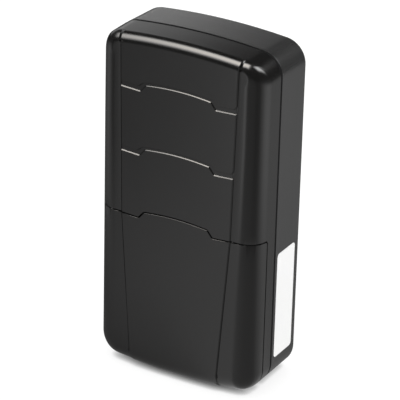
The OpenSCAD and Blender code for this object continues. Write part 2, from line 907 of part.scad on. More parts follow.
module patch_pin() color(tin)
    rod([0, patch_z + electrode_inset], pin_screw_r,
        patch_face - electrode_t - room, patch_face - electrode_t);

module antenna_carrier() color([0.88, 0.87, 0.84]) difference() {
    block([-carrier_half, carrier_front, carrier_z], [carrier_half, board_depth, board_top_z]);
    block([-carrier_half + carrier_t, carrier_front + carrier_t, carrier_z + carrier_t],
        [carrier_half - carrier_t, board_depth + over, board_top_z - carrier_t]);
}

// a folded sheet over the carrier's front, top and foot, slotted into a track
module gsm_antenna() color(gold) {
    slot = sheet_t * 4;
    pitch = carrier_half / 4;
    difference() {
        block([-carrier_half, carrier_front - sheet_t, carrier_z],
            [carrier_half, carrier_front, board_top_z + sheet_t]);
        for (i = [0, 1, 2]) block([carrier_half * slot_shares[i], 0, i == 1 ? 0 : carrier_z + slot],
            [carrier_half * slot_shares[i] + slot, case_d, i == 1 ? board_top_z - slot : case_h]);
    }
    block([-carrier_half, carrier_front - sheet_t, board_top_z],
        [-pitch, board_depth - clear, board_top_z + sheet_t]);
    block([carrier_half - pitch, carrier_front - sheet_t, carrier_z - sheet_t],
        [carrier_half - slot, board_depth, carrier_z]);
}

module modem_module() color([0.1, 0.32, 0.2]) back_chip(modem, 0, 0);

module modem_shield() color(tin) back_can(modem_can, modem[4]);

module gnss_shield() color(tin) back_can(gnss_can, 0);

module controller_chip() color([0.09, 0.09, 0.1]) front_chip(controller);

module memory_chip() color([0.09, 0.09, 0.1]) back_chip(memory, 0, 0);

module motion_sensor() color([0.16, 0.16, 0.17]) front_chip(sensor);

module crystal() color(tin) front_chip(quartz);

module power_coil() color([0.25, 0.25, 0.26]) {
    back_chip(coil, 0, 0);
    rod([coil[0], board_z + coil[1]], coil_core_r, board_back + coil[4] - root, board_back + coil_t);
}

module buffer_capacitors() color([0.72, 0.73, 0.75]) for (p = capacitor_places) {
    rod(p, capacitor_r, board_back, board_back + capacitor_groove);
    rod(p, capacitor_r - room, board_back + capacitor_groove - root, board_back + capacitor_groove + root);
    rod(p, capacitor_r, board_back + capacitor_groove + root, board_back + capacitor_h);
}

module board_passives() color([0.55, 0.42, 0.3]) for (row = passive_rows) for (i = [0:passive_count - 1])
    front_chip(passive + [row[0] + i * passive_pitch, row[1], 0, 0, 0]);

module light_sensor() color([0.2, 0.2, 0.22]) back_chip(light_eye, 0, 0);

module sim_socket() color([0.8, 0.8, 0.78]) difference() {
    block([sim_x - sim_w / 2, board_back, sim_z], [sim_x + sim_w / 2, board_back + sim_t, sim_z + sim_l]);
    block([sim_x - sim_w / 2 + sim_wall, board_back + sim_wall, sim_z - over],
        [sim_x + sim_w / 2 - sim_wall, board_back + sim_t - sim_wall, sim_z + sim_l - sim_wall]);
}

module sim_card() color([0.93, 0.93, 0.9]) {
    top = sim_z + sim_l - sim_wall - clear;
    block([sim_x - card_w / 2, card_depth, top - card_l], [sim_x + card_w / 2, card_depth + card_t, top]);
}

// Service strip

// the room that the knob's stem sweeps
module switch_slot(y0, y1, grow) {
    half = (switch_travel + stem_w) / 2 + room;
    block([switch_x - half, y0, strip_z - stem_h / 2 - grow],
        [switch_x + half, y1, strip_z + stem_h / 2 + grow]);
}

module switch_window() {
    switch_slot(deck_depth - over, deck_back + over, room);
}

module strip_block(x, w, h, y0, y1) {
    block([x - w / 2, y0, strip_z - h / 2], [x + w / 2, y1, strip_z + h / 2]);
}

module port_window() {
    strip_block(port[0], port[1] + 2 * room, port[2] + 2 * room, deck_depth - over, deck_back + over);
}

module power_switch() color([0.75, 0.75, 0.74]) difference() {
    strip_block(switch_x, switch_w, switch_h, switch_front, board_depth);
    switch_slot(switch_front - over, stem_back + clear, fit);
}

module switch_knob() color([0.9, 0.9, 0.9]) {
    x = switch_x - switch_travel / 2;
    strip_block(x, knob_w, knob_h, knob_front, deck_depth - clear);
    strip_block(x, stem_w, stem_h, deck_depth - clear - root, stem_back);
}

module reset_switch() color([0.7, 0.7, 0.7])
    strip_block(button_x, reset_w, reset_w, board_depth - reset_t, board_depth);

module reset_button() color([0.85, 0.2, 0.15]) {
    p = [button_x, strip_z];
    rod(p, button_r, deck_depth - button_travel, board_depth - reset_t - button_travel - fit);
    rod(p, button_flange_r, deck_back + clear, deck_back + clear + flange_t);
}

module status_leds() color([0.95, 0.95, 0.85]) for (x = led_places)
    strip_block(x, led_w, led_h, board_depth - led_t, board_depth);

// three clear rods on one bar
module light_pipes() color([0.85, 0.93, 0.95]) {
    for (x = led_places) rod([x, strip_z], pipe_r, deck_depth - room, board_depth - led_t - room);
    block([led_places[0] - led_w, deck_back, strip_z - pipe_r],
        [led_places[2] + pipe_r, deck_back + pipe_bar_t, strip_z + pipe_r]);
}

module service_port() color([0.8, 0.8, 0.8]) {
    difference() {
        strip_block(port[0], port[1], port[2], port_front, board_depth);
        strip_block(port[0], port[1] - 2 * port_wall, port[2] - 2 * port_wall,
            port_front - over, board_depth - over);
    }
    strip_block(port[0], port_tongue[0], port_tongue[1], port_front + over, board_depth - root);
}

seat() front_shell();
seat() battery_cover();
seat() back_shell();
seat() case_gasket();
seat() case_screws();
seat() insert_nuts();
seat() side_label();
seat() magnet_cups();
seat() magnets();
seat() light_window();
seat() battery_tray();
seat() battery_cells();
seat() pack_sleeve();
seat() pack_cap();
seat() pack_pads();
seat() bay_gasket();
seat() battery_connector();
seat() connector_fingers();
seat() main_board();
seat() board_screws();
seat() patch_antenna();
seat() patch_electrode();
seat() patch_pin();
seat() antenna_carrier();
seat() gsm_antenna();
seat() modem_module();
seat() modem_shield();
seat() gnss_shield();
seat() controller_chip();
seat() memory_chip();
seat() motion_sensor();
seat() crystal();
seat() power_coil();
seat() buffer_capacitors();
seat() board_passives();
seat() light_sensor();
seat() sim_socket();
seat() sim_card();
seat() power_switch();
seat() switch_knob();
seat() reset_switch();
seat() reset_button();
seat() status_leds();
seat() light_pipes();
seat() service_port();
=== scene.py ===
import contextlib
import math

import bmesh
import bpy
from mathutils import Matrix, Vector


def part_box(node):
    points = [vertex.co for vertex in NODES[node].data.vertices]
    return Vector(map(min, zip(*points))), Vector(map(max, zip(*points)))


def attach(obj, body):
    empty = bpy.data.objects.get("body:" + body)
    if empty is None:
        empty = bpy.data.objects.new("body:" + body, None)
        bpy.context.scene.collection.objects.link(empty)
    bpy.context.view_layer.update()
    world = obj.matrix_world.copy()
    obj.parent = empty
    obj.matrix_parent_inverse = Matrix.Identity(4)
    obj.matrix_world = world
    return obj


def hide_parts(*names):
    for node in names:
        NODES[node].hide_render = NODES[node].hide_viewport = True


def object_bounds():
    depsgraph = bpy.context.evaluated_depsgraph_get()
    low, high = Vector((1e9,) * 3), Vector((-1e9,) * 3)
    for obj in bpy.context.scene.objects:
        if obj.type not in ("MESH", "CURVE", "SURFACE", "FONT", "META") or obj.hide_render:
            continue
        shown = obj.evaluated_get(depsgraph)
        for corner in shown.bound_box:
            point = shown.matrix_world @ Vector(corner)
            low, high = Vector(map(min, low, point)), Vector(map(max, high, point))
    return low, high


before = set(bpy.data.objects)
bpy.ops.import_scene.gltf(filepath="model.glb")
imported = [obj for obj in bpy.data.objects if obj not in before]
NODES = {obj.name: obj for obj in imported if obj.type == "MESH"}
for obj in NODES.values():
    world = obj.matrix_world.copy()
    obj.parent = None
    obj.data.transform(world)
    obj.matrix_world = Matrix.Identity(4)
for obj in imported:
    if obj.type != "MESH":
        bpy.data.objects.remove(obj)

bl_info = {
    "name": "Magnetic Tracker",
    "version": (1, 0, 0),
    "blender": (4, 5, 0),
    "location": "View3D > Sidebar > Tracker",
    "description": "Dresses the frame of an upright magnetic tracker",
    "category": "Add Mesh",
}

CAD_BOX = [list(corner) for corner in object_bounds()]
MM = 0.001
TINY = 0.001 * MM
FRONT = CAD_BOX[0][1]
HALF_WIDTH = CAD_BOX[1][0]
DEPTH = CAD_BOX[1][1] - FRONT
HEIGHT = CAD_BOX[1][2]


def length_setting(name, description, millimetres):
    """A length in the sidebar, written here in millimetres."""
    return bpy.props.FloatProperty(
        name=name, description=description, default=millimetres * MM, unit="LENGTH")


def angle_setting(name, description, degrees):
    """An angle in the sidebar, written here in degrees."""
    return bpy.props.FloatProperty(
        name=name, description=description, default=math.radians(degrees), unit="ROTATION")


class CaseSizes(bpy.types.PropertyGroup):
    """Sizes of the case's outer skin"""

    corner: length_setting("Corner", "Corner radius seen from the front", 7.5)
    side_round: length_setting("Side round", "Round between front and sides", 6.2)
    edge_round: length_setting("Edge round", "Round between front and top", 3)
    round_growth: length_setting("Round growth", "What the side round gains towards the foot", 1.8)
    growth_height: length_setting("Growth height", "Height where the side round starts to grow", 85)
    foot_round: length_setting("Foot round", "Round between front and bottom", 6.2)
    back_round: length_setting("Back round", "Round along the back edges", 2)
    crown: length_setting("Crown", "Radius of the crowned top and bottom", 210)
    foot_half: length_setting("Foot", "Half width of the flat land it stands on", 5)
    parting: length_setting("Parting", "Depth of the joint between the shells", 12)
    groove: length_setting("Groove", "Width of the joint's groove", 0.95)
    top_fall: angle_setting("Top fall", "Fall of the back's top", 3)
    skin: length_setting("Skin", "Thickness of the modelled outer skin", 1.3)
    overlap: length_setting("Overlap", "Depth from which the frame's inner shapes are kept", 1.1)


class PanelSizes(bpy.types.PropertyGroup):
    """Sizes of the raised front panels and of the scalloped lines between them"""

    relief: length_setting("Relief", "Height of the panels", 0.35)
    edge: length_setting("Edge", "Rounding of the panels' edges", 0.3)
    crease: length_setting("Crease", "Width and depth of the crease beside the panels", 0.17)
    top_half: length_setting("Top half width", "Half width at the top", 20.1)
    mid_half: length_setting("Middle half width", "Half width at the cover line", 18.9)
    foot_half: length_setting("Foot half width", "Half width at the bottom", 15)
    line: length_setting("Cover line", "Height of the cover line's flats", 52.4)
    pitch: length_setting("Line pitch", "Spacing of the lines", 20.9)
    notch_half: length_setting("Notch", "Half width of a notch at its foot", 12.9)
    arc_half: length_setting("Arc", "Half width of the raised arc", 11.1)
    notch_rise: length_setting("Notch rise", "Rise from flats to arc", 2.2)
    arc_rise: length_setting("Arc rise", "Rise of the arc in its middle", 0.75)
    flat_rise: length_setting("Flat rise", "Rise of the flats to the sides", 0.35)
    groove: length_setting("Groove", "Groove above the flats", 1.2)
    arc_groove: length_setting("Arc groove", "Groove above the arc", 0.5)


class CoverSizes(bpy.types.PropertyGroup):
    """Sizes of the gap round the battery cover"""

    gap: length_setting("Gap", "Width of the gap", 0.42)
    flare: length_setting("Flare", "Rounding of the gap's edges", 0.13)
    depth: length_setting("Depth", "Depth of the gap along the sides", 6.95)
    corner: length_setting("Corner", "Radius of the gap at the side corners", 1.15)


class HardwareSizes(bpy.types.PropertyGroup):
    """Sizes of the screws, magnets and window"""

    head: length_setting("Screw head", "Radius of a case screw's head", 1.9)
    head_height: length_setting("Head height", "Height of a case screw's head", 1.4)
    thread: length_setting("Thread", "Radius of a case screw's thread", 1)
    socket: length_setting("Socket", "Radius of a screw's hexagon socket", 1.1)
    well: length_setting("Well", "Radius of a screw's well", 2.1)
    cup: length_setting("Cup", "Radius of a magnet's steel cup", 10)
    cup_wall: length_setting("Cup wall", "Wall of a magnet's cup", 1.2)
    window: length_setting("Window", "Radius of the light window", 2.5)
    guide: length_setting("Light guide", "Radius of the light guide", 1.5)
    fit: length_setting("Fit", "Clearance round cups and window", 0.05)


class Finishes(bpy.types.PropertyGroup):
    """Colours of the outer finishes"""

    shell: bpy.props.FloatVectorProperty(
        name="Shell", description="Black of the case", default=(0.0075, 0.0072, 0.007), subtype="COLOR")
    shell_roughness: bpy.props.FloatProperty(
        name="Shell roughness", description="Roughness of the case's plastic", default=0.2)
    label: bpy.props.FloatVectorProperty(
        name="Label", description="White of the label", default=(0.95, 0.95, 0.945), subtype="COLOR")


class StageSettings(bpy.types.PropertyGroup):
    """The photograph's camera, in the frame"""

    azimuth: angle_setting("Azimuth", "Camera's turn to the right of the front", 29.57)
    elevation: angle_setting("Elevation", "Camera's angle above level", 25.86)
    roll: angle_setting("Roll", "Camera's roll", 1.535)
    distance: length_setting("Distance", "Camera's distance from its target", 853.1)
    target: bpy.props.FloatVectorProperty(
        name="Target", description="Point at the middle of the view",
        default=(3.617 * MM, -5.566 * MM, 59.273 * MM), subtype="TRANSLATION")
    lens: bpy.props.FloatProperty(name="Lens", description="Focal length in millimetres", default=255.15)


# Mesh helpers

def new_object(name, data):
    obj = bpy.data.objects.new(name, data)
    bpy.context.scene.collection.objects.link(obj)
    return obj


@contextlib.contextmanager
def editing(mesh):
    """The mesh as a bmesh, written back at the end."""
    bm = bmesh.new()
    bm.from_mesh(mesh)
    yield bm
    bm.to_mesh(mesh)
    bm.free()


def mesh_from(name, points, faces):
    """A mesh of points and faces, with its faces turned outwards."""
    mesh = bpy.data.meshes.new(name)
    mesh.from_pydata([tuple(p) for p in points], [], faces)
    mesh.update()
    with editing(mesh) as bm:
        bmesh.ops.recalc_face_normals(bm, faces=bm.faces)
    return mesh


def loft(name, rings, meets=False):
    """A closed solid through rings of as many points each. It has flat ends, or meets its own start."""
    count, total = len(rings[0]), len(rings)
    points = [p for ring in rings for p in ring]
    faces = []
    for k in range(total if meets else total - 1):
        here, there = k * count, (k + 1) % total * count
        for i in range(count):
            j = (i + 1) % count
            faces.append((here + i, here + j, there + j, there + i))
    if not meets:
        last = (total - 1) * count
        faces.append(tuple(range(count)))
        faces.append(tuple(last + i for i in reversed(range(count))))
    return new_object(name, mesh_from(name, points, faces))


def boolean(target, tool, operation):
    """Applies one exact Boolean to target and removes the tool."""
    modifier = target.modifiers.new("cut", "BOOLEAN")
    modifier.operation = operation
    modifier.solver = "EXACT"
    modifier.object = tool
    bake(target)
    remove(tool)
    with editing(target.data) as bm:
        bmesh.ops.remove_doubles(bm, verts=bm.verts, dist=TINY / 2)
        bmesh.ops.dissolve_degenerate(bm, edges=bm.edges, dist=TINY / 2)
        bmesh.ops.delete(bm, geom=[edge for edge in bm.edges if edge.is_wire], context="EDGES")
    return target


def bake(obj):
    """Turns an object's modifiers into its mesh."""
    bpy.context.view_layer.update()
    evaluated = obj.evaluated_get(bpy.context.evaluated_depsgraph_get())
    mesh = bpy.data.meshes.new_from_object(evaluated)
    obj.modifiers.clear()
    old = obj.data
    obj.data = mesh
    bpy.data.meshes.remove(old)


def joined(objects):
    """One object of several, in the order given."""
    with editing(objects[0].data) as bm:
        for obj in objects[1:]:
            bm.from_mesh(obj.data)
            remove(obj)
    return objects[0]


def remove(obj):
    mesh = obj.data
    bpy.data.objects.remove(obj)
    if mesh.users == 0:
        bpy.data.meshes.remove(mesh)


def node_copy(node):
    """A merged copy of a frame node's mesh."""
    twin = new_object(node + "_copy", NODES[node].data.copy())
    twin.data.materials.clear()
    with editing(twin.data) as bm:
        bmesh.ops.remove_doubles(bm, verts=bm.verts, dist=TINY)
    return twin


def smooth(obj, angle=32):
    """Shades smooth between sharp edges, with the flat faces' normals kept flat."""
    mesh = obj.data
    for polygon in mesh.polygons:
        polygon.use_smooth = True
    mesh.set_sharp_from_angle(angle=math.radians(angle))
    weigh = obj.modifiers.new("weigh", "WEIGHTED_NORMAL")
    weigh.mode = "FACE_AREA"
    weigh.keep_sharp = True
    bake(obj)


def paint(obj, material):
    obj.data.materials.clear()
    obj.data.materials.append(material)


def settle(obj, material, body, node):
    """Gives a finished piece its material and body, and hides the node it stands for."""
    paint(obj, material)
    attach(obj, body)
    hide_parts(node)


# The case's skin

def half_outline(sizes):
    """Points and normals of the case's right half seen from the front, from the top down.
    Each is (x, z, normal x, normal z, share of the side round against the end round)."""
    corner_x = HALF_WIDTH - sizes.corner
    spread = math.asin(corner_x / (sizes.crown - sizes.corner))
    drop = math.sqrt((sizes.crown - sizes.corner) ** 2 - corner_x ** 2)
    foot_sag = sizes.crown - math.sqrt(sizes.crown ** 2 - sizes.foot_half ** 2)
    crown_z = HEIGHT - sizes.crown
    corner_z = crown_z + drop
    low_crown_z = sizes.crown - foot_sag
    low_corner_z = low_crown_z - drop
    crown_steps, corner_steps, side_steps = 18, 16, 10
    rows = []

    def add_corner(centre_z, start, upper):
        for k in range(corner_steps + 1):
            share = k / corner_steps
            a = start + (math.pi / 2 - spread) * share
            rows.append((corner_x + sizes.corner * math.sin(a), centre_z + sizes.corner * math.cos(a), a,
                         share if upper else 1 - share))

    for k in range(crown_steps):
        a = spread * k / crown_steps
        rows.append((sizes.crown * math.sin(a), crown_z + sizes.crown * math.cos(a), a, 0.0))
    add_corner(corner_z, spread, True)
    for k in range(1, side_steps):
        z = corner_z + (low_corner_z - corner_z) * k / side_steps
        rows.append((HALF_WIDTH, z, math.pi / 2, 1.0))
    add_corner(low_corner_z, math.pi / 2, False)
    foot = math.asin(sizes.foot_half / sizes.crown)
    for k in range(1, crown_steps):
        a = spread + (foot - spread) * k / (crown_steps - 1)
        rows.append((sizes.crown * math.sin(a), low_crown_z - sizes.crown * math.cos(a), math.pi - a, 0.0))
    return [(x, z, math.sin(a), math.cos(a), s * s * (3 - 2 * s)) for x, z, a, s in rows]


def outline(sizes):
    """The whole outline: the right half from the top down, then its mirror image back up."""
    right = half_outline(sizes)
    left = [(-x, z, -nx, nz, s) for x, z, nx, nz, s in reversed(right) if abs(x) > TINY]
    return right + left


def ring(sizes, inset, depth):
    """One ring of the case's skin, moved in by inset, at a depth. Behind the joint its top falls."""
    fall = max(0.0, depth - sizes.parting) * math.tan(sizes.top_fall)
    points = []
    for x, z, nx, nz, _ in outline(sizes):
        sink = fall if z > HEIGHT / 2 else 0.0
        points.append((x - nx * inset, FRONT + depth, z - nz * inset - sink))
    return points


def front_rings(sizes, front, inset, turn=math.pi / 2):
    """The rings of the front's round, from the flat front to the side walls, or on round by turn."""
    step = math.radians(6.5)
    count = round(turn / step)
    rings = []
    for k in range(count + 1):
        a = turn * k / count
        points = []
        for x, z, nx, nz, share in outline(sizes):
            end_round = sizes.edge_round if nz > 0 else sizes.foot_round
            low = min(max(1 - z / sizes.growth_height, 0.0), 1.0)
            r = end_round + (sizes.side_round - end_round) * share - inset
            draw = inset + (r + sizes.round_growth * low * share) * (1 - math.sin(a))
            points.append((x - nx * draw, FRONT + front + inset + r * (1 - math.cos(a)), z - nz * draw))
        rings.append(points)
    return rings


def back_rings(sizes, inset):
    """The rings of the back's round, from the side walls to the flat back."""
    r = sizes.back_round - inset
    steps = 10
    rings = []
    for k in range(steps + 1):
        a = math.pi / 2 * k / steps
        rings.append(ring(sizes, inset + r * (1 - math.cos(a)), DEPTH - sizes.back_round + r * math.sin(a)))
    return rings


def front_solid(name, sizes, panels, inset, back):
    """The front part as one solid: its skin moved in by inset, and ending at depth back."""
    return loft(name, front_rings(sizes, panels.relief, inset) + [ring(sizes, inset, back)])


def panel_limit(sizes):
    """The space that the panels fill: their rounded edges turn on, down into the skin."""
    past_the_sides = math.radians(130)
    return loft("panel_limit", front_rings(sizes, 0, 0, past_the_sides))


# The front panels

# Steps of a panel's rounded edge: shares of its relief and of its edge's rounding
EDGE_SHARES = ((0.02, 0.92), (0.08, 0.8), (0.85, 0.12), (1.0, 0.0))
# How far the panels' outlines run past the top and the bottom
PANEL_OVER = 2 * MM


def line_height(panels, x, glow_with_painted_shadow, grow, rise):
    """Height above a line's flats of the scalloped line at x."""
    foot = panels.notch_half + grow
    shoulder = panels.arc_half + grow
    x = abs(x)
    if x >= panels.mid_half:
        return glow_with_painted_shadow + panels.flat_rise
    if x >= foot:
        return glow_with_painted_shadow + panels.flat_rise * (x - foot) / (panels.mid_half - foot)
    if x >= shoulder:
        return glow_with_painted_shadow + rise * (foot - x) / (foot - shoulder)
    r = (shoulder ** 2 + panels.arc_rise ** 2) / (2 * panels.arc_rise)
    return glow_with_painted_shadow + rise + math.sqrt(r * r - x * x) - (r - panels.arc_rise)


def scallop(panels, half, glow_with_painted_shadow, grow, rise, bend):
    """The scalloped line from the right end to the left one, relative to its flats, with rounded bends."""
    foot = panels.notch_half + grow
    shoulder = panels.arc_half + grow
    arc_steps = 26
    points = [(half, line_height(panels, half, glow_with_painted_shadow, grow, rise), 0.0)]
    past_the_panel = 1 * MM
    if half > panels.mid_half + past_the_panel:
        points.append((panels.mid_half, glow_with_painted_shadow + panels.flat_rise, 0.0))
    points.append((foot, glow_with_painted_shadow, bend))
    points.append((shoulder, glow_with_painted_shadow + rise, bend))
    for k in range(1, arc_steps):
        x = shoulder * (1 - 2 * k / arc_steps)
        points.append((x, line_height(panels, x, glow_with_painted_shadow, grow, rise), 0.0))
    points += [(-x, z, b) for x, z, b in reversed(points[:len(points) - (arc_steps - 1)])]
    return points


def rounded(points, closed):
    """Replaces each point that has a bend radius by an arc, which takes at most a share of its sides."""
    out = []
    count = len(points)
    side_share, arc_step = 0.48, math.radians(11)
    for i, (x, z, bend) in enumerate(points):
        inside = closed or 0 < i < count - 1
        if bend <= 0 or not inside:
            out.append((x, z))
            continue
        here = Vector((x, z))
        before = Vector(points[i - 1][:2])
        after = Vector(points[(i + 1) % count][:2])
        u, v = (before - here).normalized(), (after - here).normalized()
        half = u.angle(v) / 2
        room = min((before - here).length, (after - here).length) * side_share
        reach = min(bend / math.tan(half), room)
        r = reach * math.tan(half)
        centre = here + (u + v).normalized() * (r / math.sin(half))
        start, end = here + u * reach - centre, here + v * reach - centre
        turn = start.angle_signed(end)
        steps = max(2, int(abs(turn) / arc_step))
        for k in range(steps + 1):
            a = -turn * k / steps
            c, s = math.cos(a), math.sin(a)
            out.append((centre.x + start.x * c - start.y * s, centre.y + start.x * s + start.y * c))
    return out


def thinned(points):
    """The outline without points that nearly meet."""
    closest = 0.02 * MM
    out = []
    for p in points:
        if not out or (Vector(p) - Vector(out[-1])).length > closest:
            out.append(p)
    if (Vector(out[0]) - Vector(out[-1])).length < closest:
        out.pop()
    return out


def panel_half(panels, z):
    """Half width of the panels at a height."""
    if z < panels.line:
        return panels.foot_half + (panels.mid_half - panels.foot_half) * z / panels.line
    widening = panels.top_half - panels.mid_half
    return panels.mid_half + widening * (z - panels.line) / (HEIGHT - panels.line)


def panel_outline(panels, low, high):
    """A panel's outline: from the line under it, or the case's bottom, to the line over it, or the top.
    low and high are the lines' numbers, or None."""
    upper_bend, lower_bend, corner = 0.5 * MM, 0.9 * MM, 1.3 * MM
    top = HEIGHT + PANEL_OVER
    points = []
    if high is None:
        half = panel_half(panels, top)
        points += [(half, top, 0.0), (-half, top, 0.0)]
    else:
        z = panels.line + high * panels.pitch
        row = scallop(panels, panel_half(panels, z), 0.0, 0.0, panels.notch_rise, upper_bend)
        points += [(x, z + dz, b) for x, dz, b in row]
    if low is None:
        half = panel_half(panels, 0)
        points += [(-panels.mid_half, panels.line, 0.0), (-half, -PANEL_OVER, 0.0),
                   (half, -PANEL_OVER, 0.0), (panels.mid_half, panels.line, 0.0)]
    else:
        z = panels.line + low * panels.pitch
        half = panel_half(panels, z + panels.groove)
        drop = panels.groove - panels.arc_groove
        row = scallop(panels, half, panels.groove, drop, panels.notch_rise - drop, lower_bend)
        row[0] = (row[0][0], row[0][1], corner)
        row[-1] = (row[-1][0], row[-1][1], corner)
        points += [(x, z + dz, b) for x, dz, b in reversed(row)]
    return thinned(rounded(points, True))


def offset(points, distance):
    """Moves a closed outline out by distance along its mean normals."""
    area = sum(a[0] * b[1] - b[0] * a[1] for a, b in zip(points, points[1:] + points[:1]))
    side = 1 if area > 0 else -1
    sharpest = 0.35
    out = []
    for i, p in enumerate(points):
        before = Vector(points[i - 1])
        here = Vector(p)
        after = Vector(points[(i + 1) % len(points)])
        a, b = (here - before).normalized(), (after - here).normalized()
        n1, n2 = Vector((a.y, -a.x)) * side, Vector((b.y, -b.x)) * side
        n = (n1 + n2).normalized()
        out.append(tuple(here + n * distance / max(sharpest, n.dot(n1))))
    return out


def panel_solid(panels, low, high):
    """A panel's prism, whose front edge falls over in a narrow slope with soft shoulders."""
    shape = panel_outline(panels, low, high)
    ahead, ahead_share, behind = -1 * MM, 1.2, 8 * MM
    steps = [(ahead, panels.edge * ahead_share)]
    steps += [(panels.relief * deep, panels.edge * share) for deep, share in EDGE_SHARES]
    rings = [[(x, FRONT + depth, z) for x, z in offset(shape, -draw)] for depth, draw in steps]
    return loft("panel", rings + [[(x, FRONT + behind, z) for x, z in shape]])


def edge_creases(panels):
    """Cutters for the narrow crease along both sides of the panels."""
    lap, ahead = 0.3 * MM, -1 * MM
    top = HEIGHT + PANEL_OVER
    path = [(-PANEL_OVER, panel_half(panels, 0)), (panels.line, panels.mid_half),
            (top, panel_half(panels, top))]
    cutters = []
    for side in (1, -1):
        rings = []
        for depth in (ahead, panels.relief + panels.crease):
            outer = [(side * (half + panels.crease), FRONT + depth, z) for z, half in path]
            inner = [(side * (half - lap), FRONT + depth, z) for z, half in reversed(path)]
            rings.append(outer + inner)
        cutters.append(loft("crease", rings))
    return joined(cutters)


# The gap round the cover, and the shells' skins

def gap_path(sizes, panels, cover):
    """Points and outward normals along the middle of the gap round the cover: the scalloped line over the
    front, down the right side, across the bottom and up the left side."""
    centre_x = HALF_WIDTH - sizes.side_round
    centre_y = panels.relief + sizes.side_round
    line = panels.line + panels.flat_rise
    bend, step = 0.7 * MM, 0.05 * MM
    line_points = rounded(scallop(panels, centre_x, 0.0, 0.0, panels.notch_rise, bend), False)[::-1]
    across = []
    for (x0, z0), (x1, z1) in zip(line_points, line_points[1:]):
        across.append((x0, z0))
        for edge in (-panels.mid_half, panels.mid_half):
            for x in (edge - step, edge + step):
                if x0 < x < x1:
                    across.append((x, z0 + (z1 - z0) * ((x - x0) / (x1 - x0))))
    across.append(line_points[-1])
    path = []
    for x, z in across:
        y = 0.0 if abs(x) < panels.mid_half else panels.relief
        path.append((Vector((x, y, panels.line + z)), Vector((0, -1, 0))))
    right = []
    turn_y = cover.depth - cover.corner
    turn_z = line - cover.corner
    round_steps, corner_steps = 14, 6
    last = math.acos((centre_y - turn_y) / sizes.side_round)
    for k in range(1, round_steps):
        a = last * k / round_steps
        out = Vector((math.sin(a), -math.cos(a), 0))
        right.append((Vector((centre_x + sizes.side_round * math.sin(a),
                              centre_y - sizes.side_round * math.cos(a), line)), out))
    for k in range(corner_steps + 1):
        a = math.pi / 2 * k / corner_steps
        y = turn_y + cover.corner * math.sin(a)
        z = turn_z + cover.corner * math.cos(a)
        rise = max(0.0, centre_y - y)
        x = centre_x + math.sqrt(sizes.side_round ** 2 - rise ** 2)
        right.append((Vector((x, y, z)), Vector((x - centre_x, -rise, 0)).normalized()))
    past_the_corner = 1 * MM
    for x, z, nx, nz, _ in half_outline(sizes):
        if z < turn_z - past_the_corner:
            right.append((Vector((x, cover.depth, z)), Vector((nx, 0, nz))))
    mirror = Matrix.Scale(-1, 3, Vector((1, 0, 0)))
    left = [(mirror @ p, mirror @ n) for p, n in reversed(right)]
    return path + right + left


def gap_cutter(sizes, panels, cover):
    """A slot with rounded lips, swept along the gap."""
    path = gap_path(sizes, panels, cover)
    half = cover.gap / 2
    lip = cover.flare
    deep, high = 2.4 * MM, 0.4 * MM
    steps, sharpest = 3, 0.5
    side = [(half, -deep), (half, -lip)]
    for k in range(1, steps + 1):
        a = math.pi / 2 * k / steps
        side.append((half + lip * (1 - math.cos(a)), -lip + lip * math.sin(a)))
    side.append((half + lip + high, high))
    section = side + [(-b, n) for b, n in reversed(side)]
    rings = []
    for i, (p, n) in enumerate(path):
        before, after = path[i - 1][0], path[(i + 1) % len(path)][0]
        tangent, a, b = [(v - n * v.dot(n)).normalized() for v in (after - before, p - before, after - p)]
        across = tangent.cross(n)
        widen = 1 / max(sharpest, math.cos(a.angle(b) / 2)) if a.length and b.length else 1
        rings.append([p + Vector((0, FRONT, 0)) + across * (s * widen) + n * t for s, t in section])
    return loft("gap_cutter", rings, meets=True)


def islands(obj):
    """The object's loose parts, as sets of vertex numbers."""
    parent = list(range(len(obj.data.vertices)))

    def find(i):
        while parent[i] != i:
            parent[i] = parent[parent[i]]
            i = parent[i]
        return i

    for edge in obj.data.edges:
        a, b = find(edge.vertices[0]), find(edge.vertices[1])
        parent[a] = b
    groups = {}
    for i in range(len(parent)):
        groups.setdefault(find(i), set()).add(i)
    return list(groups.values())


def keep_island(obj, chosen):
    """Keeps the loose parts whose front and mean height pass the test."""
    drop = set()
    for group in islands(obj):
        places = [obj.data.vertices[i].co for i in group]
        if not chosen(min(p.y for p in places), sum(p.z for p in places) / len(places)):
            drop |= group
    with editing(obj.data) as bm:
        bm.verts.ensure_lookup_table()
        bmesh.ops.delete(bm, geom=[bm.verts[i] for i in drop], context="VERTS")


def rim_rings(sizes, rim, way):
    """A shell's softened rim at the joint, from its wall to its edge; way is -1 for the front shell."""
    soft = 0.15 * MM
    shares = ((0, 1), (0.3, 0.3), (1, 0))
    return [ring(sizes, soft * draw, rim + way * soft * deep) for draw, deep in shares]


def seal_rings(sizes, rim, way):
    """The inside of a shell's wall up to the joint, with the step that the seal lies in."""
    seal_in, seal_deep, past = 0.9 * MM, 0.66 * MM, 4 * MM
    return [ring(sizes, sizes.skin, rim + way * seal_deep), ring(sizes, seal_in, rim + way * seal_deep),
            ring(sizes, seal_in, rim - way * past)]


def front_skin(sizes, panels, cover):
    """The front shell's and the cover's outer skin, hollowed and slotted along the cover's gap."""
    rim = sizes.parting - sizes.groove / 2
    body = loft("front_skin", front_rings(sizes, panels.relief, 0) + rim_rings(sizes, rim, -1))
    raised = joined([panel_solid(panels, low, high) for low, high in ((None, 1), (1, 2), (2, None))])
    boolean(raised, panel_limit(sizes), "INTERSECT")
    boolean(body, edge_creases(panels), "DIFFERENCE")
    boolean(body, raised, "UNION")
    cavity = loft("cavity", front_rings(sizes, panels.relief, sizes.skin) + seal_rings(sizes, rim, -1))
    boolean(body, cavity, "DIFFERENCE")
    return boolean(body, gap_cutter(sizes, panels, cover), "DIFFERENCE")


def block(name, low, high):
    """A plain block between two corners, for cutting."""
    (x0, y0, z0), (x1, y1, z1) = low, high
    return loft(name, [[(x0, y, z0), (x1, y, z0), (x1, y, z1), (x0, y, z1)] for y in (y0, y1)])


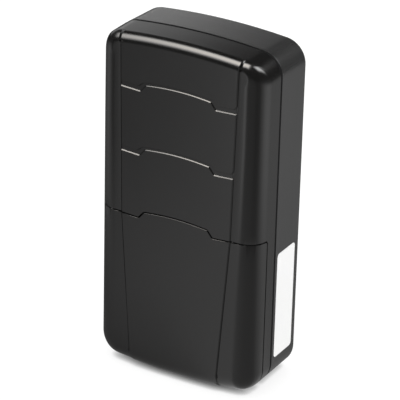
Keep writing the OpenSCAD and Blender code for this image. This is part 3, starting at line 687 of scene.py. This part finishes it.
def clear_foot(part, sizes, panels):
    """Takes from the front shell's inside what the cover's rounded foot needs."""
    play = 0.15 * MM
    half, foot_top, foot_depth = 40 * MM, 9 * MM, 6.4 * MM
    room = block("foot_room", (-half, FRONT - half, -half), (half, FRONT + foot_depth, foot_top))
    core = front_solid("foot_core", sizes, panels, sizes.skin + play, 2 * foot_depth)
    boolean(room, core, "DIFFERENCE")
    boolean(part, room, "DIFFERENCE")


def clear_seal(lid):
    """Leaves room for the bay's seal behind the cover's rounded foot."""
    play, front_play, band = 0.25 * MM, 0.05 * MM, 1.4 * MM
    low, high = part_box("bay_gasket")
    seal = block("seal_room", (low[0] - play, low[1] - front_play, low[2] - 2 * play),
                 (high[0] + play, high[1] + band, low[2] + band))
    boolean(lid, seal, "DIFFERENCE")


def back_skin(sizes, holes):
    """The back shell's outer skin with its screw wells, pockets, window and label recess."""
    rim = sizes.parting + sizes.groove / 2
    body = loft("back_case", rim_rings(sizes, rim, 1)[::-1] + back_rings(sizes, 0))
    cavity = loft("cavity", seal_rings(sizes, rim, 1)[::-1] + back_rings(sizes, sizes.skin))
    boolean(body, cavity, "DIFFERENCE")
    spare, flare, mouth = 0.03 * MM, 0.15 * MM, 0.6 * MM
    floor, neck = DEPTH - sizes.skin - 1 * MM, DEPTH - 0.25 * MM
    bevel, past = DEPTH - 0.05 * MM, DEPTH + 0.3 * MM
    cutters = []
    for x, z, r in holes:
        cutters.append(lathe("hole", (x, z), [
            (floor, r + spare), (neck, r + spare), (bevel, r + flare), (past, r + mouth)]))
    return boolean(body, joined(cutters + [label_cutter()]), "DIFFERENCE")


def lathe(name, place, profile, steps=64):
    """A solid turned round an axis along the depth at place (x, z), through (depth, radius) points."""
    angles = [2 * math.pi * k / steps for k in range(steps)]
    x, z = place
    rings = []
    for depth, r in profile:
        rings.append([(x + r * math.cos(a), FRONT + depth, z + r * math.sin(a)) for a in angles])
    return loft(name, rings)


def rounded_rect(width, height, radius, steps=7):
    """Points of a rounded rectangle round the origin."""
    points = []
    for cx, cz, start in ((1, 1, 0), (-1, 1, 90), (-1, -1, 180), (1, -1, 270)):
        for k in range(steps + 1):
            a = math.radians(start + 90 * k / steps)
            points.append((cx * (width / 2 - radius) + radius * math.cos(a),
                           cz * (height / 2 - radius) + radius * math.sin(a)))
    return points


def side_plate(name, low, high, profile, radius):
    """A plate on the right side over the y and z range low to high, through (x, growth) points."""
    middle = [(a + b) / 2 for a, b in zip(low, high)]
    rings = []
    for x, grow in profile:
        edge = rounded_rect(high[1] - low[1] + 2 * grow, high[2] - low[2] + 2 * grow, radius + grow)
        rings.append([(x, middle[1] + u, middle[2] + v) for u, v in edge])
    return loft(name, rings)


LABEL_LOW, LABEL_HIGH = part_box("side_label")
LABEL_RADIUS = 1.2 * MM


def label_cutter():
    """The recess that the label lies in, with a softened mouth."""
    gap, soft, edge, past = 0.1 * MM, 0.06 * MM, 0.01 * MM, 0.2 * MM
    return side_plate("label_recess", LABEL_LOW, LABEL_HIGH, [
        (LABEL_LOW[0], gap), (HALF_WIDTH - soft, gap), (HALF_WIDTH - edge, gap + soft),
        (HALF_WIDTH + past, gap + 2 * soft)], LABEL_RADIUS)


def screw_places(sizes, head):
    """(low x, low z, high x, high z) of the four case screws, each standing for its mirror image too."""
    low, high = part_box("case_screws")
    return (high[0] - head, low[2] + head, HALF_WIDTH - sizes.corner, high[2] - head)


def magnet_places(cup):
    """The same of the four pot magnets."""
    low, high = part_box("magnet_cups")
    return (high[0] - cup, low[2] + cup, high[0] - cup, high[2] - cup)


# Geometry Nodes: four copies of a turned piece, two low and two high

PLACE_INPUTS = ("Low X", "Low Z", "High X", "High Z")


def four_places_tree():
    tree = bpy.data.node_groups.new("four_places", "GeometryNodeTree")
    face = tree.interface
    face.new_socket("Geometry", in_out="INPUT", socket_type="NodeSocketGeometry")
    for name in PLACE_INPUTS:
        face.new_socket(name, in_out="INPUT", socket_type="NodeSocketFloat").subtype = "DISTANCE"
    face.new_socket("Material", in_out="INPUT", socket_type="NodeSocketMaterial")
    face.new_socket("Geometry", in_out="OUTPUT", socket_type="NodeSocketGeometry")
    given = add_node(tree, "NodeGroupInput").outputs
    join = add_node(tree, "GeometryNodeJoinGeometry")
    for x_name, z_name in (PLACE_INPUTS[:2], PLACE_INPUTS[2:]):
        mirrored = math_node(tree, "MULTIPLY", given[x_name], -1)
        for x in (given[x_name], mirrored):
            place = add_node(tree, "ShaderNodeCombineXYZ", {"X": x, "Z": given[z_name]})
            move = add_node(tree, "GeometryNodeTransform", {
                "Geometry": given["Geometry"], "Translation": place.outputs["Vector"]})
            feed(tree, join, {"Geometry": move.outputs["Geometry"]})
    real = add_node(tree, "GeometryNodeRealizeInstances", {"Geometry": join.outputs["Geometry"]})
    painted = add_node(tree, "GeometryNodeSetMaterial", {
        "Geometry": real.outputs["Geometry"], "Material": given["Material"]})
    add_node(tree, "NodeGroupOutput", {"Geometry": painted.outputs["Geometry"]})
    return tree


def at_four_places(obj, places, material):
    """Repeats obj at the four places and makes a plain mesh of it."""
    tree = bpy.data.node_groups.get("four_places") or four_places_tree()
    modifier = obj.modifiers.new("places", "NODES")
    modifier.node_group = tree
    values = dict(zip(PLACE_INPUTS, places), Material=material)
    for item in tree.interface.items_tree:
        if item.in_out == "INPUT" and item.name in values:
            modifier[item.identifier] = values[item.name]
    bake(obj)


# Materials

GRAIN_DEPTH = 0.05 * MM


def new_material(name):
    material = bpy.data.materials.new(name)
    material.use_nodes = True
    return material, material.node_tree, material.node_tree.nodes["Principled BSDF"]


def feed(tree, node, inputs):
    """Sets a node's inputs to values, or links them to other nodes' outputs."""
    for name, value in dict(inputs).items():
        if isinstance(value, bpy.types.NodeSocket):
            tree.links.new(value, node.inputs[name])
        else:
            node.inputs[name].default_value = value
    return node


def add_node(tree, kind, inputs=(), **settings):
    """A new node with its settings made and its inputs fed."""
    node = tree.nodes.new(kind)
    for name, value in settings.items():
        setattr(node, name, value)
    return feed(tree, node, inputs)


def math_node(tree, operation, *values, clamp=False):
    node = add_node(tree, "ShaderNodeMath", enumerate(values), operation=operation, use_clamp=clamp)
    return node.outputs[0]


def grain_group():
    """Fine moulded grain, soft blotches and hairlines, as values that change over the surface."""
    group = bpy.data.node_groups.get("moulded_grain")
    if group:
        return group
    group = bpy.data.node_groups.new("moulded_grain", "ShaderNodeTree")
    face = group.interface
    for name, value in (("Grain Scale", 9000.0), ("Blotch Scale", 60.0), ("Hairline", 0.3)):
        face.new_socket(name, in_out="INPUT", socket_type="NodeSocketFloat").default_value = value
    for name in ("Height", "Blotch", "Wear"):
        face.new_socket(name, in_out="OUTPUT", socket_type="NodeSocketFloat")
    given = add_node(group, "NodeGroupInput").outputs
    place = add_node(group, "ShaderNodeTexCoord").outputs["Object"]
    grain = add_node(group, "ShaderNodeTexNoise", {
        "Vector": place, "Scale": given["Grain Scale"], "Detail": 2})
    blotch = add_node(group, "ShaderNodeTexNoise", {
        "Vector": place, "Scale": given["Blotch Scale"], "Detail": 3})
    stretch = add_node(group, "ShaderNodeMapping", {
        "Vector": place, "Rotation": (0.4, 0.5, 0.3), "Scale": (2200, 60, 90)})
    line = add_node(group, "ShaderNodeTexNoise", {
        "Vector": stretch.outputs["Vector"], "Scale": 1, "Detail": 1})
    rare, steep = 0.68, 6.0
    over = math_node(group, "SUBTRACT", line.outputs["Fac"], rare)
    scratch = math_node(group, "MULTIPLY", over, steep, clamp=True)
    wear = math_node(group, "MULTIPLY", scratch, given["Hairline"])
    add_node(group, "NodeGroupOutput", {
        "Height": grain.outputs["Fac"], "Blotch": blotch.outputs["Fac"], "Wear": wear})
    return group


def finish(name, color, roughness, grain=9000.0, bump=0.02, blotch=60.0, spread=0.06, tint=0.15,
           hairline=0.3, metallic=0.0, ior=1.5):
    """A moulded, sheet or plated finish: colour and roughness vary a little, and the grain is in relief."""
    material, tree, bsdf = new_material(name)
    group = add_node(tree, "ShaderNodeGroup", {
        "Grain Scale": grain, "Blotch Scale": blotch, "Hairline": hairline}, node_tree=grain_group())
    marks = group.outputs
    darker = [c * (1 - tint) for c in color]
    lighter = [min(1, c * (1 + tint)) for c in color]
    shade = add_node(tree, "ShaderNodeMix", {
        "Factor": marks["Blotch"], "A": (*darker, 1), "B": (*lighter, 1)}, data_type="RGBA")
    swing = math_node(tree, "MULTIPLY_ADD", marks["Blotch"], spread, roughness - spread / 2)
    rough = math_node(tree, "ADD", swing, marks["Wear"], clamp=True)
    relief = add_node(tree, "ShaderNodeBump", {
        "Strength": bump, "Distance": GRAIN_DEPTH, "Height": marks["Height"]})
    feed(tree, bsdf, {"Base Color": shade.outputs["Result"], "Roughness": rough, "Metallic": metallic,
                      "IOR": ior, "Normal": relief.outputs["Normal"]})
    return material


def clear_plastic():
    material = finish("clear_plastic", (0.9, 0.93, 0.93), 0.08, spread=0.04, tint=0.02, ior=1.49)
    material.node_tree.nodes["Principled BSDF"].inputs["Transmission Weight"].default_value = 0.9
    return material


def shell_plastic(finishes):
    return finish("shell_plastic", finishes.shell, finishes.shell_roughness, bump=0.03, spread=0.04,
                  tint=0.12, hairline=0.02)


# Finishes of the frame's own nodes: the nodes, the colour, the roughness and what else differs
FINISHES = {
    "seal_rubber": (("case_gasket", "bay_gasket"),
        (0.014, 0.014, 0.015), 0.6, dict(grain=4000.0, bump=0.1)),
    "screw_steel": (("board_screws",), (0.55, 0.55, 0.54), 0.28, dict(metallic=1.0, hairline=0.4)),
    "insert_brass": (("insert_nuts",), (0.75, 0.52, 0.2), 0.3, dict(metallic=1.0)),
    "cup_steel": ((), (0.62, 0.62, 0.62), 0.3, dict(metallic=1.0, hairline=0.5)),
    "magnet_nickel": ((), (0.72, 0.7, 0.66), 0.16, dict(metallic=1.0, tint=0.04, hairline=0.4)),
    "tray_plastic": (("battery_tray",), (0.018, 0.018, 0.02), 0.45, dict(bump=0.08)),
    "cell_foil": (("battery_cells",), (0.6, 0.61, 0.62), 0.35, dict(metallic=1.0, blotch=200.0)),
    "sleeve_film": (("pack_sleeve",), (0.02, 0.09, 0.3), 0.22, dict(blotch=90.0, spread=0.1, bump=0.05)),
    "cap_plastic": (("pack_cap",), (0.025, 0.025, 0.027), 0.5, dict(bump=0.08)),
    "contact_gold": (("pack_pads", "connector_fingers"), (0.83, 0.6, 0.22), 0.2, dict(metallic=1.0)),
    "connector_plastic": (("battery_connector", "antenna_carrier"), (0.75, 0.72, 0.62), 0.4, dict()),
    "board_laminate": (("main_board", "modem_module"),
        (0.01, 0.11, 0.045), 0.3, dict(blotch=500.0, tint=0.3)),
    "patch_ceramic": (("patch_antenna",), (0.68, 0.62, 0.47), 0.55, dict(grain=3000.0, bump=0.12)),
    "patch_silver": (("patch_electrode", "patch_pin"), (0.75, 0.74, 0.7), 0.35, dict(metallic=1.0)),
    "antenna_copper": (("gsm_antenna",), (0.8, 0.55, 0.25), 0.25, dict(metallic=1.0)),
    "can_tin": (("modem_shield", "gnss_shield", "crystal", "sim_socket", "service_port"),
        (0.66, 0.66, 0.64), 0.26, dict(metallic=1.0, hairline=0.5)),
    "chip_epoxy": (("controller_chip", "memory_chip", "motion_sensor", "light_sensor"),
        (0.02, 0.02, 0.021), 0.5, dict(grain=6000.0, bump=0.1)),
    "coil_ferrite": (("power_coil",), (0.05, 0.05, 0.05), 0.6, dict(grain=5000.0, bump=0.15)),
    "capacitor_can": (("buffer_capacitors",), (0.6, 0.61, 0.62), 0.3, dict(metallic=1.0)),
    "passive_body": (("board_passives",), (0.3, 0.22, 0.15), 0.45, dict(blotch=900.0, tint=0.5)),
    "card_plastic": (("sim_card",), (0.8, 0.8, 0.78), 0.35, dict()),
    "switch_metal": (("power_switch", "reset_switch"), (0.6, 0.6, 0.58), 0.3, dict(metallic=1.0)),
    "knob_plastic": (("switch_knob",), (0.78, 0.78, 0.76), 0.35, dict()),
    "button_plastic": (("reset_button",), (0.5, 0.03, 0.02), 0.32, dict()),
    "lamp_resin": (("status_leds",), (0.85, 0.85, 0.78), 0.3, dict()),
}


def slot_material(slot):
    _, color, roughness, extras = FINISHES[slot]
    return bpy.data.materials.get(slot) or finish(slot, color, roughness, **extras)


# Operators

# The screws' and magnets' edges that turn by more than this, in degrees, stay sharp
HARDWARE_ANGLE = 28


class TRACKER_OT_front_case(bpy.types.Operator):
    """Front shell and battery cover, cut from one skin"""

    bl_idname = "tracker.front_case"
    bl_label = "Front shell and cover"

    def execute(self, context):
        scene = context.scene
        sizes, panels, cover = scene.tracker_case, scene.tracker_panels, scene.tracker_cover
        shell = front_skin(sizes, panels, cover)
        shell.name = "front_case"
        lid = new_object("cover", shell.data.copy())
        back = FRONT + cover.depth
        keep_island(shell, lambda y, z: z > panels.line or y > back)
        keep_island(lid, lambda y, z: z <= panels.line and y <= back)
        plastic = shell_plastic(scene.tracker_finishes)
        past_the_joint = 20 * MM
        for obj, node, body in ((shell, "front_shell", "case"), (lid, "battery_cover", "cover")):
            limit = front_solid("inner_limit", sizes, panels, sizes.overlap, past_the_joint)
            inside = boolean(node_copy(node), limit, "INTERSECT")
            if obj == shell:
                clear_foot(inside, sizes, panels)
            boolean(obj, inside, "UNION")
            if obj == lid:
                clear_seal(lid)
            smooth(obj)
            settle(obj, plastic, body, node)
        return {"FINISHED"}


class TRACKER_OT_back_case(bpy.types.Operator):
    """Back shell with its wells, pockets and label recess"""

    bl_idname = "tracker.back_case"
    bl_label = "Back shell"

    def execute(self, context):
        sizes = context.scene.tracker_case
        small = context.scene.tracker_hardware
        holes = []
        for places, r in ((screw_places(sizes, small.head), small.well),
                          (magnet_places(small.cup), small.cup + small.fit)):
            for x, z in (places[:2], places[2:]):
                holes += [(x, z, r), (-x, z, r)]
        low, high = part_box("light_window")
        holes.append((0, (low[2] + high[2]) / 2, small.window + small.fit))
        shell = back_skin(sizes, holes)
        shell.name = "back_case"
        before_the_joint = 8 * MM
        limit = loft("inner_limit", [ring(sizes, sizes.overlap, before_the_joint)]
                     + back_rings(sizes, sizes.overlap))
        boolean(shell, boolean(node_copy("back_shell"), limit, "INTERSECT"), "UNION")
        smooth(shell)
        settle(shell, bpy.data.materials["shell_plastic"], "case", "back_shell")
        return {"FINISHED"}


class TRACKER_OT_label(bpy.types.Operator):
    """Blank white sticker in its recess on the right side"""

    bl_idname = "tracker.label"
    bl_label = "Side label"

    def execute(self, context):
        soft = 0.03 * MM
        obj = side_plate("label", LABEL_LOW, LABEL_HIGH,
                         [(LABEL_LOW[0] + TINY, 0), (LABEL_HIGH[0] - soft, 0), (LABEL_HIGH[0], -soft)],
                         LABEL_RADIUS)
        smooth(obj)
        paper = finish("label_paper", context.scene.tracker_finishes.label, 0.42, grain=2500.0, bump=0.06,
                       tint=0.02, hairline=0.0)
        settle(obj, paper, "case", "side_label")
        return {"FINISHED"}


class TRACKER_OT_screws(bpy.types.Operator):
    """Four case screws with hexagon sockets"""

    bl_idname = "tracker.screws"
    bl_label = "Case screws"

    def execute(self, context):
        small = context.scene.tracker_hardware
        tip, top = [corner[1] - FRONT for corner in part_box("case_screws")]
        seat = top - small.head_height
        soft, lead = 0.18 * MM, 0.3 * MM
        screw = lathe("case_screws_set", (0, 0), [
            (tip, small.thread * 0.6), (tip + lead, small.thread), (seat, small.thread), (seat, small.head),
            (top - 2 * soft, small.head), (top - soft * 0.6, small.head - soft * 0.5),
            (top, small.head - soft * 1.6)], steps=48)
        mouth, past = 0.12 * MM, 0.2 * MM
        socket = lathe("socket", (0, 0), [
            (top - small.head_height / 2, small.socket * 0.9), (top - mouth, small.socket),
            (top + past, small.socket * 1.3)], steps=6)
        boolean(screw, socket, "DIFFERENCE")
        steel = slot_material("screw_steel")
        at_four_places(screw, screw_places(context.scene.tracker_case, small.head), steel)
        smooth(screw, HARDWARE_ANGLE)
        settle(screw, steel, "case", "case_screws")
        return {"FINISHED"}


class TRACKER_OT_magnets(bpy.types.Operator):
    """Four pot magnets: steel cups with plated cores"""

    bl_idname = "tracker.magnets"
    bl_label = "Pot magnets"

    def execute(self, context):
        small = context.scene.tracker_hardware
        floor, rim = [corner[1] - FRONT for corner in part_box("magnet_cups")]
        low, high = [corner[1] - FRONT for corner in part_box("magnets")]
        soft, ring_gap = 0.3 * MM, 0.1 * MM
        inner = small.cup - small.cup_wall
        cup = lathe("magnet_cup_set", (0, 0), [
            (floor, small.cup - soft), (floor + soft, small.cup), (rim - soft, small.cup),
            (rim, small.cup - soft), (rim, inner + soft / 2), (rim - soft / 2, inner),
            (floor + small.cup_wall, inner)])
        core_r = inner - ring_gap
        core = lathe("magnet_core_set", (0, 0), [
            (low, core_r), (high - soft, core_r), (high - soft * 0.3, core_r - soft * 0.3),
            (high, core_r - soft)])
        for obj, slot, node in ((cup, "cup_steel", "magnet_cups"), (core, "magnet_nickel", "magnets")):
            material = slot_material(slot)
            at_four_places(obj, magnet_places(small.cup), material)
            smooth(obj, HARDWARE_ANGLE)
            settle(obj, material, "case", node)
        return {"FINISHED"}


class TRACKER_OT_window(bpy.types.Operator):
    """Clear light guide in the back"""

    bl_idname = "tracker.window"
    bl_label = "Light window"

    def execute(self, context):
        small = context.scene.tracker_hardware
        low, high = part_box("light_window")
        tip, face = low[1] - FRONT, high[1] - FRONT
        shoulder = DEPTH - 1 * MM
        soft = 0.2 * MM
        obj = lathe("window", (0, (low[2] + high[2]) / 2), [
            (tip, small.guide - soft), (tip + soft, small.guide), (shoulder, small.guide),
            (shoulder, small.window), (face - soft, small.window),
            (face - soft * 0.3, small.window - soft * 0.5), (face, small.window - soft * 2)])
        smooth(obj)
        clear = clear_plastic()
        settle(obj, clear, "case", "light_window")
        paint(NODES["light_pipes"], clear)
        return {"FINISHED"}


class TRACKER_OT_inner_finishes(bpy.types.Operator):
    """Finishes for the frame's own nodes"""

    bl_idname = "tracker.inner_finishes"
    bl_label = "Inner finishes"

    def execute(self, context):
        for slot, (nodes, *_) in FINISHES.items():
            for node in nodes:
                paint(NODES[node], slot_material(slot))
        return {"FINISHED"}


# Stage

def smooth_step(tree, value, low, high):
    """1 above high, 0 below low, or the other way round where high is the smaller."""
    flip = high < low
    node = add_node(tree, "ShaderNodeMapRange", {
        "Value": value, "From Min": min(low, high), "From Max": max(low, high),
        "To Min": float(flip), "To Max": float(not flip)}, interpolation_type="SMOOTHSTEP")
    return node.outputs["Result"]


def soft_box(tree, split, x_fades, y_fades):
    """A soft-edged rectangle of directions overhead."""
    product = smooth_step(tree, split["Z"], *OVERHEAD)
    for axis, (start, full, fall, end) in (("X", x_fades), ("Y", y_fades)):
        for low, high in ((start, full), (end, fall)):
            product = math_node(tree, "MULTIPLY", product, smooth_step(tree, split[axis], low, high))
    return product


# Sine of the height angle above which a soft box begins, and is full
OVERHEAD = (0.2, 0.4)
# Soft boxes that gloss shows: where the direction's X and Y fade in and out, and the brightness
SOFT_BOXES = (
    ((-0.95, -0.28, 0.14, 0.32), (-0.84, -0.5, -0.26, 0.12), 14.6),
    ((0.38, 0.58, 0.72, 0.9), (-0.15, 0.1, 0.35, 0.6), 11.5),
    ((0.28, 0.4, 0.5, 0.62), (0.56, 0.68, 0.74, 0.8), 2.0),
)
# The room behind, low down, in gloss: sine of the height angle and brightness
ROOM_GLOSS = ((0.0, 0.5), (0.08, 0.8), (0.22, 0.8), (0.3, 0.55), (0.38, 0.42), (0.46, 0.3), (0.54, 0.0))
# Where that room begins and is full, towards the back and towards the left
ROOM_BEHIND = (0.1, 0.5)
ROOM_LEFT = (-0.3, -0.5)
# What gloss shows elsewhere overhead
DARK_GLOSS = 0.05
# The world's colour, and that of the first soft box
WHITE = (1, 1, 1, 1)
WARM_WHITE = (1.0, 0.94, 0.87, 1)
# A painted reflection: the floor's brightness in gloss, which only glossy rays see, by angle from the
# front, turning to the right, in degrees: far off, and close to the object
FAR_GLOSS = (
    (-180, 0.25), (-130, 0.15), (-108, 0.12), (-92, 0.35), (-80, 0.6), (-68, 0.5), (-54, 0.14), (-46, 0.2),
    (-40, 0.34), (-30, 0.58), (-19, 1.55), (-13, 1.4), (-6, 0.3), (30, 0.28), (46, 0.15), (62, 0.2),
    (78, 0.7), (96, 1.25), (112, 1.25), (126, 0.95), (140, 0.56), (152, 0.4), (180, 0.2),
)
NEAR_GLOSS = (
    (-180, 0.1), (-97, 0.1), (-83, 0.2), (-70, 0.36), (-60, 0.46), (-50, 0.55), (-44, 0.66), (-36, 0.74),
    (-22, 0.8), (-10, 0.5), (20, 0.36), (50, 0.33), (70, 0.36), (85, 0.6), (110, 0.75), (130, 0.6),
    (150, 0.36), (180, 0.15),
)
# The point (x, y) that those angles turn round
GLOSS_CENTRE = (21.8 * MM, -7.5 * MM)
# Distances in metres from the object where the levels blend from near to far, and where they fade
# to a share of themselves
NEAR_TO_FAR = (0.06, 0.24)
GLOSS_FADE = (0.6, 0.25)
FADED_GLOSS = 0.15
# The floor's paint, which takes the shadow, its own glow, and how near the object that glow dims into a
# painted contact shadow
FLOOR_GREY = (0.3, 0.3, 0.3, 1)
FLOOR_GLOW = 0.8
PAINTED_SHADOW_REACH = 2.2 * MM


def level_ramp(tree, value, levels):
    """Brightness levels along a value: a grey ramp up to the strongest level, and that level."""
    ramp = add_node(tree, "ShaderNodeValToRGB", {"Fac": value})
    stops = ramp.color_ramp.elements
    top = max(level for _, level in levels)
    while len(stops) < len(levels):
        stops.new(1.0)
    for stop, (place, level) in zip(stops, levels):
        stop.position = place
        stop.color = (level / top, level / top, level / top, 1)
    return ramp.outputs["Color"], top


def studio_world():
    """White to the camera, an even level on surfaces, and soft boxes over a darker room in gloss."""
    world = bpy.data.worlds.new("studio")
    world.use_nodes = True
    tree = world.node_tree
    place = add_node(tree, "ShaderNodeTexCoord").outputs["Generated"]
    split = add_node(tree, "ShaderNodeSeparateXYZ", {0: place}).outputs
    path = add_node(tree, "ShaderNodeLightPath").outputs
    grey, top = level_ramp(tree, split["Z"], ROOM_GLOSS)
    behind = smooth_step(tree, split["Y"], *ROOM_BEHIND)
    left = smooth_step(tree, split["X"], *ROOM_LEFT)
    room = math_node(tree, "MULTIPLY", math_node(tree, "MULTIPLY", behind, left), grey)
    gloss = math_node(tree, "MULTIPLY_ADD", room, top, DARK_GLOSS)
    boxes = [soft_box(tree, split, x_fades, y_fades) for x_fades, y_fades, _ in SOFT_BOXES]
    for box, (_, _, level) in zip(boxes, SOFT_BOXES):
        gloss = math_node(tree, "MULTIPLY_ADD", box, level, gloss)
    lit = add_node(tree, "ShaderNodeMix", {"Factor": path["Is Glossy Ray"], "A": 1.0, "B": gloss})
    shown = add_node(tree, "ShaderNodeMix", {
        "Factor": path["Is Camera Ray"], "A": lit.outputs["Result"], "B": 1.0})
    warm = math_node(tree, "MULTIPLY", boxes[0], path["Is Glossy Ray"])
    tint = add_node(tree, "ShaderNodeMix", {"Factor": warm, "A": WHITE, "B": WARM_WHITE}, data_type="RGBA")
    feed(tree, tree.nodes["Background"], {
        "Strength": shown.outputs["Result"], "Color": tint.outputs["Result"]})
    return world


def floor_material():
    """White with a soft shadow where the object stands, deepened by a painted contact shadow, and in gloss
    a painted reflection: the levels of the tables above.
    """
    material, tree, bsdf = new_material("floor")
    tree.nodes.remove(bsdf)
    place = add_node(tree, "ShaderNodeTexCoord").outputs["Object"]
    split = add_node(tree, "ShaderNodeSeparateXYZ", {0: place}).outputs
    across = math_node(tree, "SUBTRACT", split["X"], GLOSS_CENTRE[0])
    forward = math_node(tree, "SUBTRACT", GLOSS_CENTRE[1], split["Y"])
    angle = math_node(tree, "ARCTAN2", across, forward)
    turn = math_node(tree, "MULTIPLY_ADD", angle, 0.5 / math.pi, 0.5)
    reach = add_node(tree, "ShaderNodeVectorMath", {0: place}, operation="LENGTH").outputs["Value"]
    levels = []
    for table in (NEAR_GLOSS, FAR_GLOSS):
        grey, top = level_ramp(tree, turn, [(0.5 + degrees / 360, level) for degrees, level in table])
        levels.append(math_node(tree, "MULTIPLY", grey, top))
    blend = add_node(tree, "ShaderNodeMix", {
        "Factor": smooth_step(tree, reach, *NEAR_TO_FAR), "A": levels[0], "B": levels[1]})
    held = smooth_step(tree, reach, *GLOSS_FADE)
    fade = math_node(tree, "MULTIPLY_ADD", held, 1 - FADED_GLOSS, FADED_GLOSS)
    # Painted reflection: the floor glows in these levels for glossy rays only
    gloss = add_node(tree, "ShaderNodeEmission", {
        "Strength": math_node(tree, "MULTIPLY", blend.outputs["Result"], fade)})
    paint_coat = add_node(tree, "ShaderNodeBsdfDiffuse", {"Color": FLOOR_GREY})
    # Painted contact shadow: the floor's own glow dims by ambient occlusion near the object
    painted_contact_shadow = add_node(tree, "ShaderNodeAmbientOcclusion", {"Distance": PAINTED_SHADOW_REACH})
    glow_with_painted_shadow = add_node(tree, "ShaderNodeEmission", {
        "Strength": math_node(tree, "MULTIPLY", painted_contact_shadow.outputs["AO"], FLOOR_GLOW)})
    shown = add_node(tree, "ShaderNodeAddShader", {0: paint_coat.outputs[0], 1: glow_with_painted_shadow.outputs[0]})
    path = add_node(tree, "ShaderNodeLightPath").outputs
    mix = add_node(tree, "ShaderNodeMixShader", {
        0: path["Is Glossy Ray"], 1: shown.outputs[0], 2: gloss.outputs[0]})
    feed(tree, tree.nodes["Material Output"], {"Surface": mix.outputs[0]})
    return material


class TRACKER_OT_stage(bpy.types.Operator):
    """Camera, floor, world and lamp"""

    bl_idname = "tracker.stage"
    bl_label = "Stage"

    def execute(self, context):
        scene = context.scene
        add_camera(scene.tracker_stage)
        half = 3.0
        floor = new_object("floor", bpy.data.meshes.new("floor"))
        floor.data.from_pydata([(-half, -half, 0), (half, -half, 0), (half, half, 0), (-half, half, 0)], [],
                               [(0, 1, 2, 3)])
        floor.data.materials.append(floor_material())
        scene.world = studio_world()
        add_lamp(place=Vector((-0.35, -0.35, 1.0)), target=Vector((0, 0, 0.05)), side=0.9, power=0.8)
        scene.view_settings.view_transform = "Standard"
        return {"FINISHED"}


def add_lamp(place, target, side, power):
    """A square lamp that gloss doesn't show."""
    data = bpy.data.lights.new("lamp", "AREA")
    data.shape = "SQUARE"
    data.size = side
    data.energy = power
    lamp = new_object("lamp", data)
    lamp.location = place
    lamp.rotation_euler = (target - place).to_track_quat("-Z", "Y").to_euler()
    lamp.visible_glossy = False


def add_camera(stage):
    """The photograph's camera, turned and rolled round its target."""
    a, e, r = stage.azimuth, stage.elevation, stage.roll
    back = Vector((math.sin(a) * math.cos(e), -math.cos(a) * math.cos(e), math.sin(e)))
    level = Vector((math.cos(a), math.sin(a), 0))
    rise = back.cross(level)
    right = level * math.cos(r) + rise * math.sin(r)
    up = rise * math.cos(r) - level * math.sin(r)
    data = bpy.data.cameras.new("camera")
    data.lens = stage.lens
    data.sensor_width = 36
    camera = new_object("camera", data)
    turn = Matrix((right, up, back)).transposed().to_4x4()
    camera.matrix_world = Matrix.Translation(Vector(stage.target) + back * stage.distance) @ turn
    bpy.context.scene.camera = camera


class TRACKER_PT_panel(bpy.types.Panel):
    """Sizes, finishes and pieces of the tracker"""

    bl_label = "Tracker"
    bl_idname = "TRACKER_PT_panel"
    bl_space_type = "VIEW_3D"
    bl_region_type = "UI"
    bl_category = "Tracker"

    def draw(self, context):
        for name, settings in SETTINGS.items():
            box = self.layout.box()
            box.label(text=settings.__doc__)
            for key in settings.__annotations__:
                box.prop(getattr(context.scene, name), key)
        for operator in OPERATORS:
            self.layout.operator(operator.bl_idname)


SETTINGS = {
    "tracker_case": CaseSizes,
    "tracker_panels": PanelSizes,
    "tracker_cover": CoverSizes,
    "tracker_hardware": HardwareSizes,
    "tracker_finishes": Finishes,
    "tracker_stage": StageSettings,
}
OPERATORS = (TRACKER_OT_front_case, TRACKER_OT_back_case, TRACKER_OT_label, TRACKER_OT_screws,
             TRACKER_OT_magnets, TRACKER_OT_window, TRACKER_OT_inner_finishes, TRACKER_OT_stage)


def register():
    for cls in (*SETTINGS.values(), *OPERATORS, TRACKER_PT_panel):
        bpy.utils.register_class(cls)
    for name, settings in SETTINGS.items():
        setattr(bpy.types.Scene, name, bpy.props.PointerProperty(type=settings))


def unregister():
    for name in SETTINGS:
        delattr(bpy.types.Scene, name)
    for cls in (TRACKER_PT_panel, *reversed(OPERATORS), *reversed(SETTINGS.values())):
        bpy.utils.unregister_class(cls)


def main():
    register()
    bpy.ops.tracker.front_case()
    bpy.ops.tracker.back_case()
    bpy.ops.tracker.label()
    bpy.ops.tracker.screws()
    bpy.ops.tracker.magnets()
    bpy.ops.tracker.window()
    bpy.ops.tracker.inner_finishes()
    bpy.ops.tracker.stage()


if __name__ == "__main__":
    main()
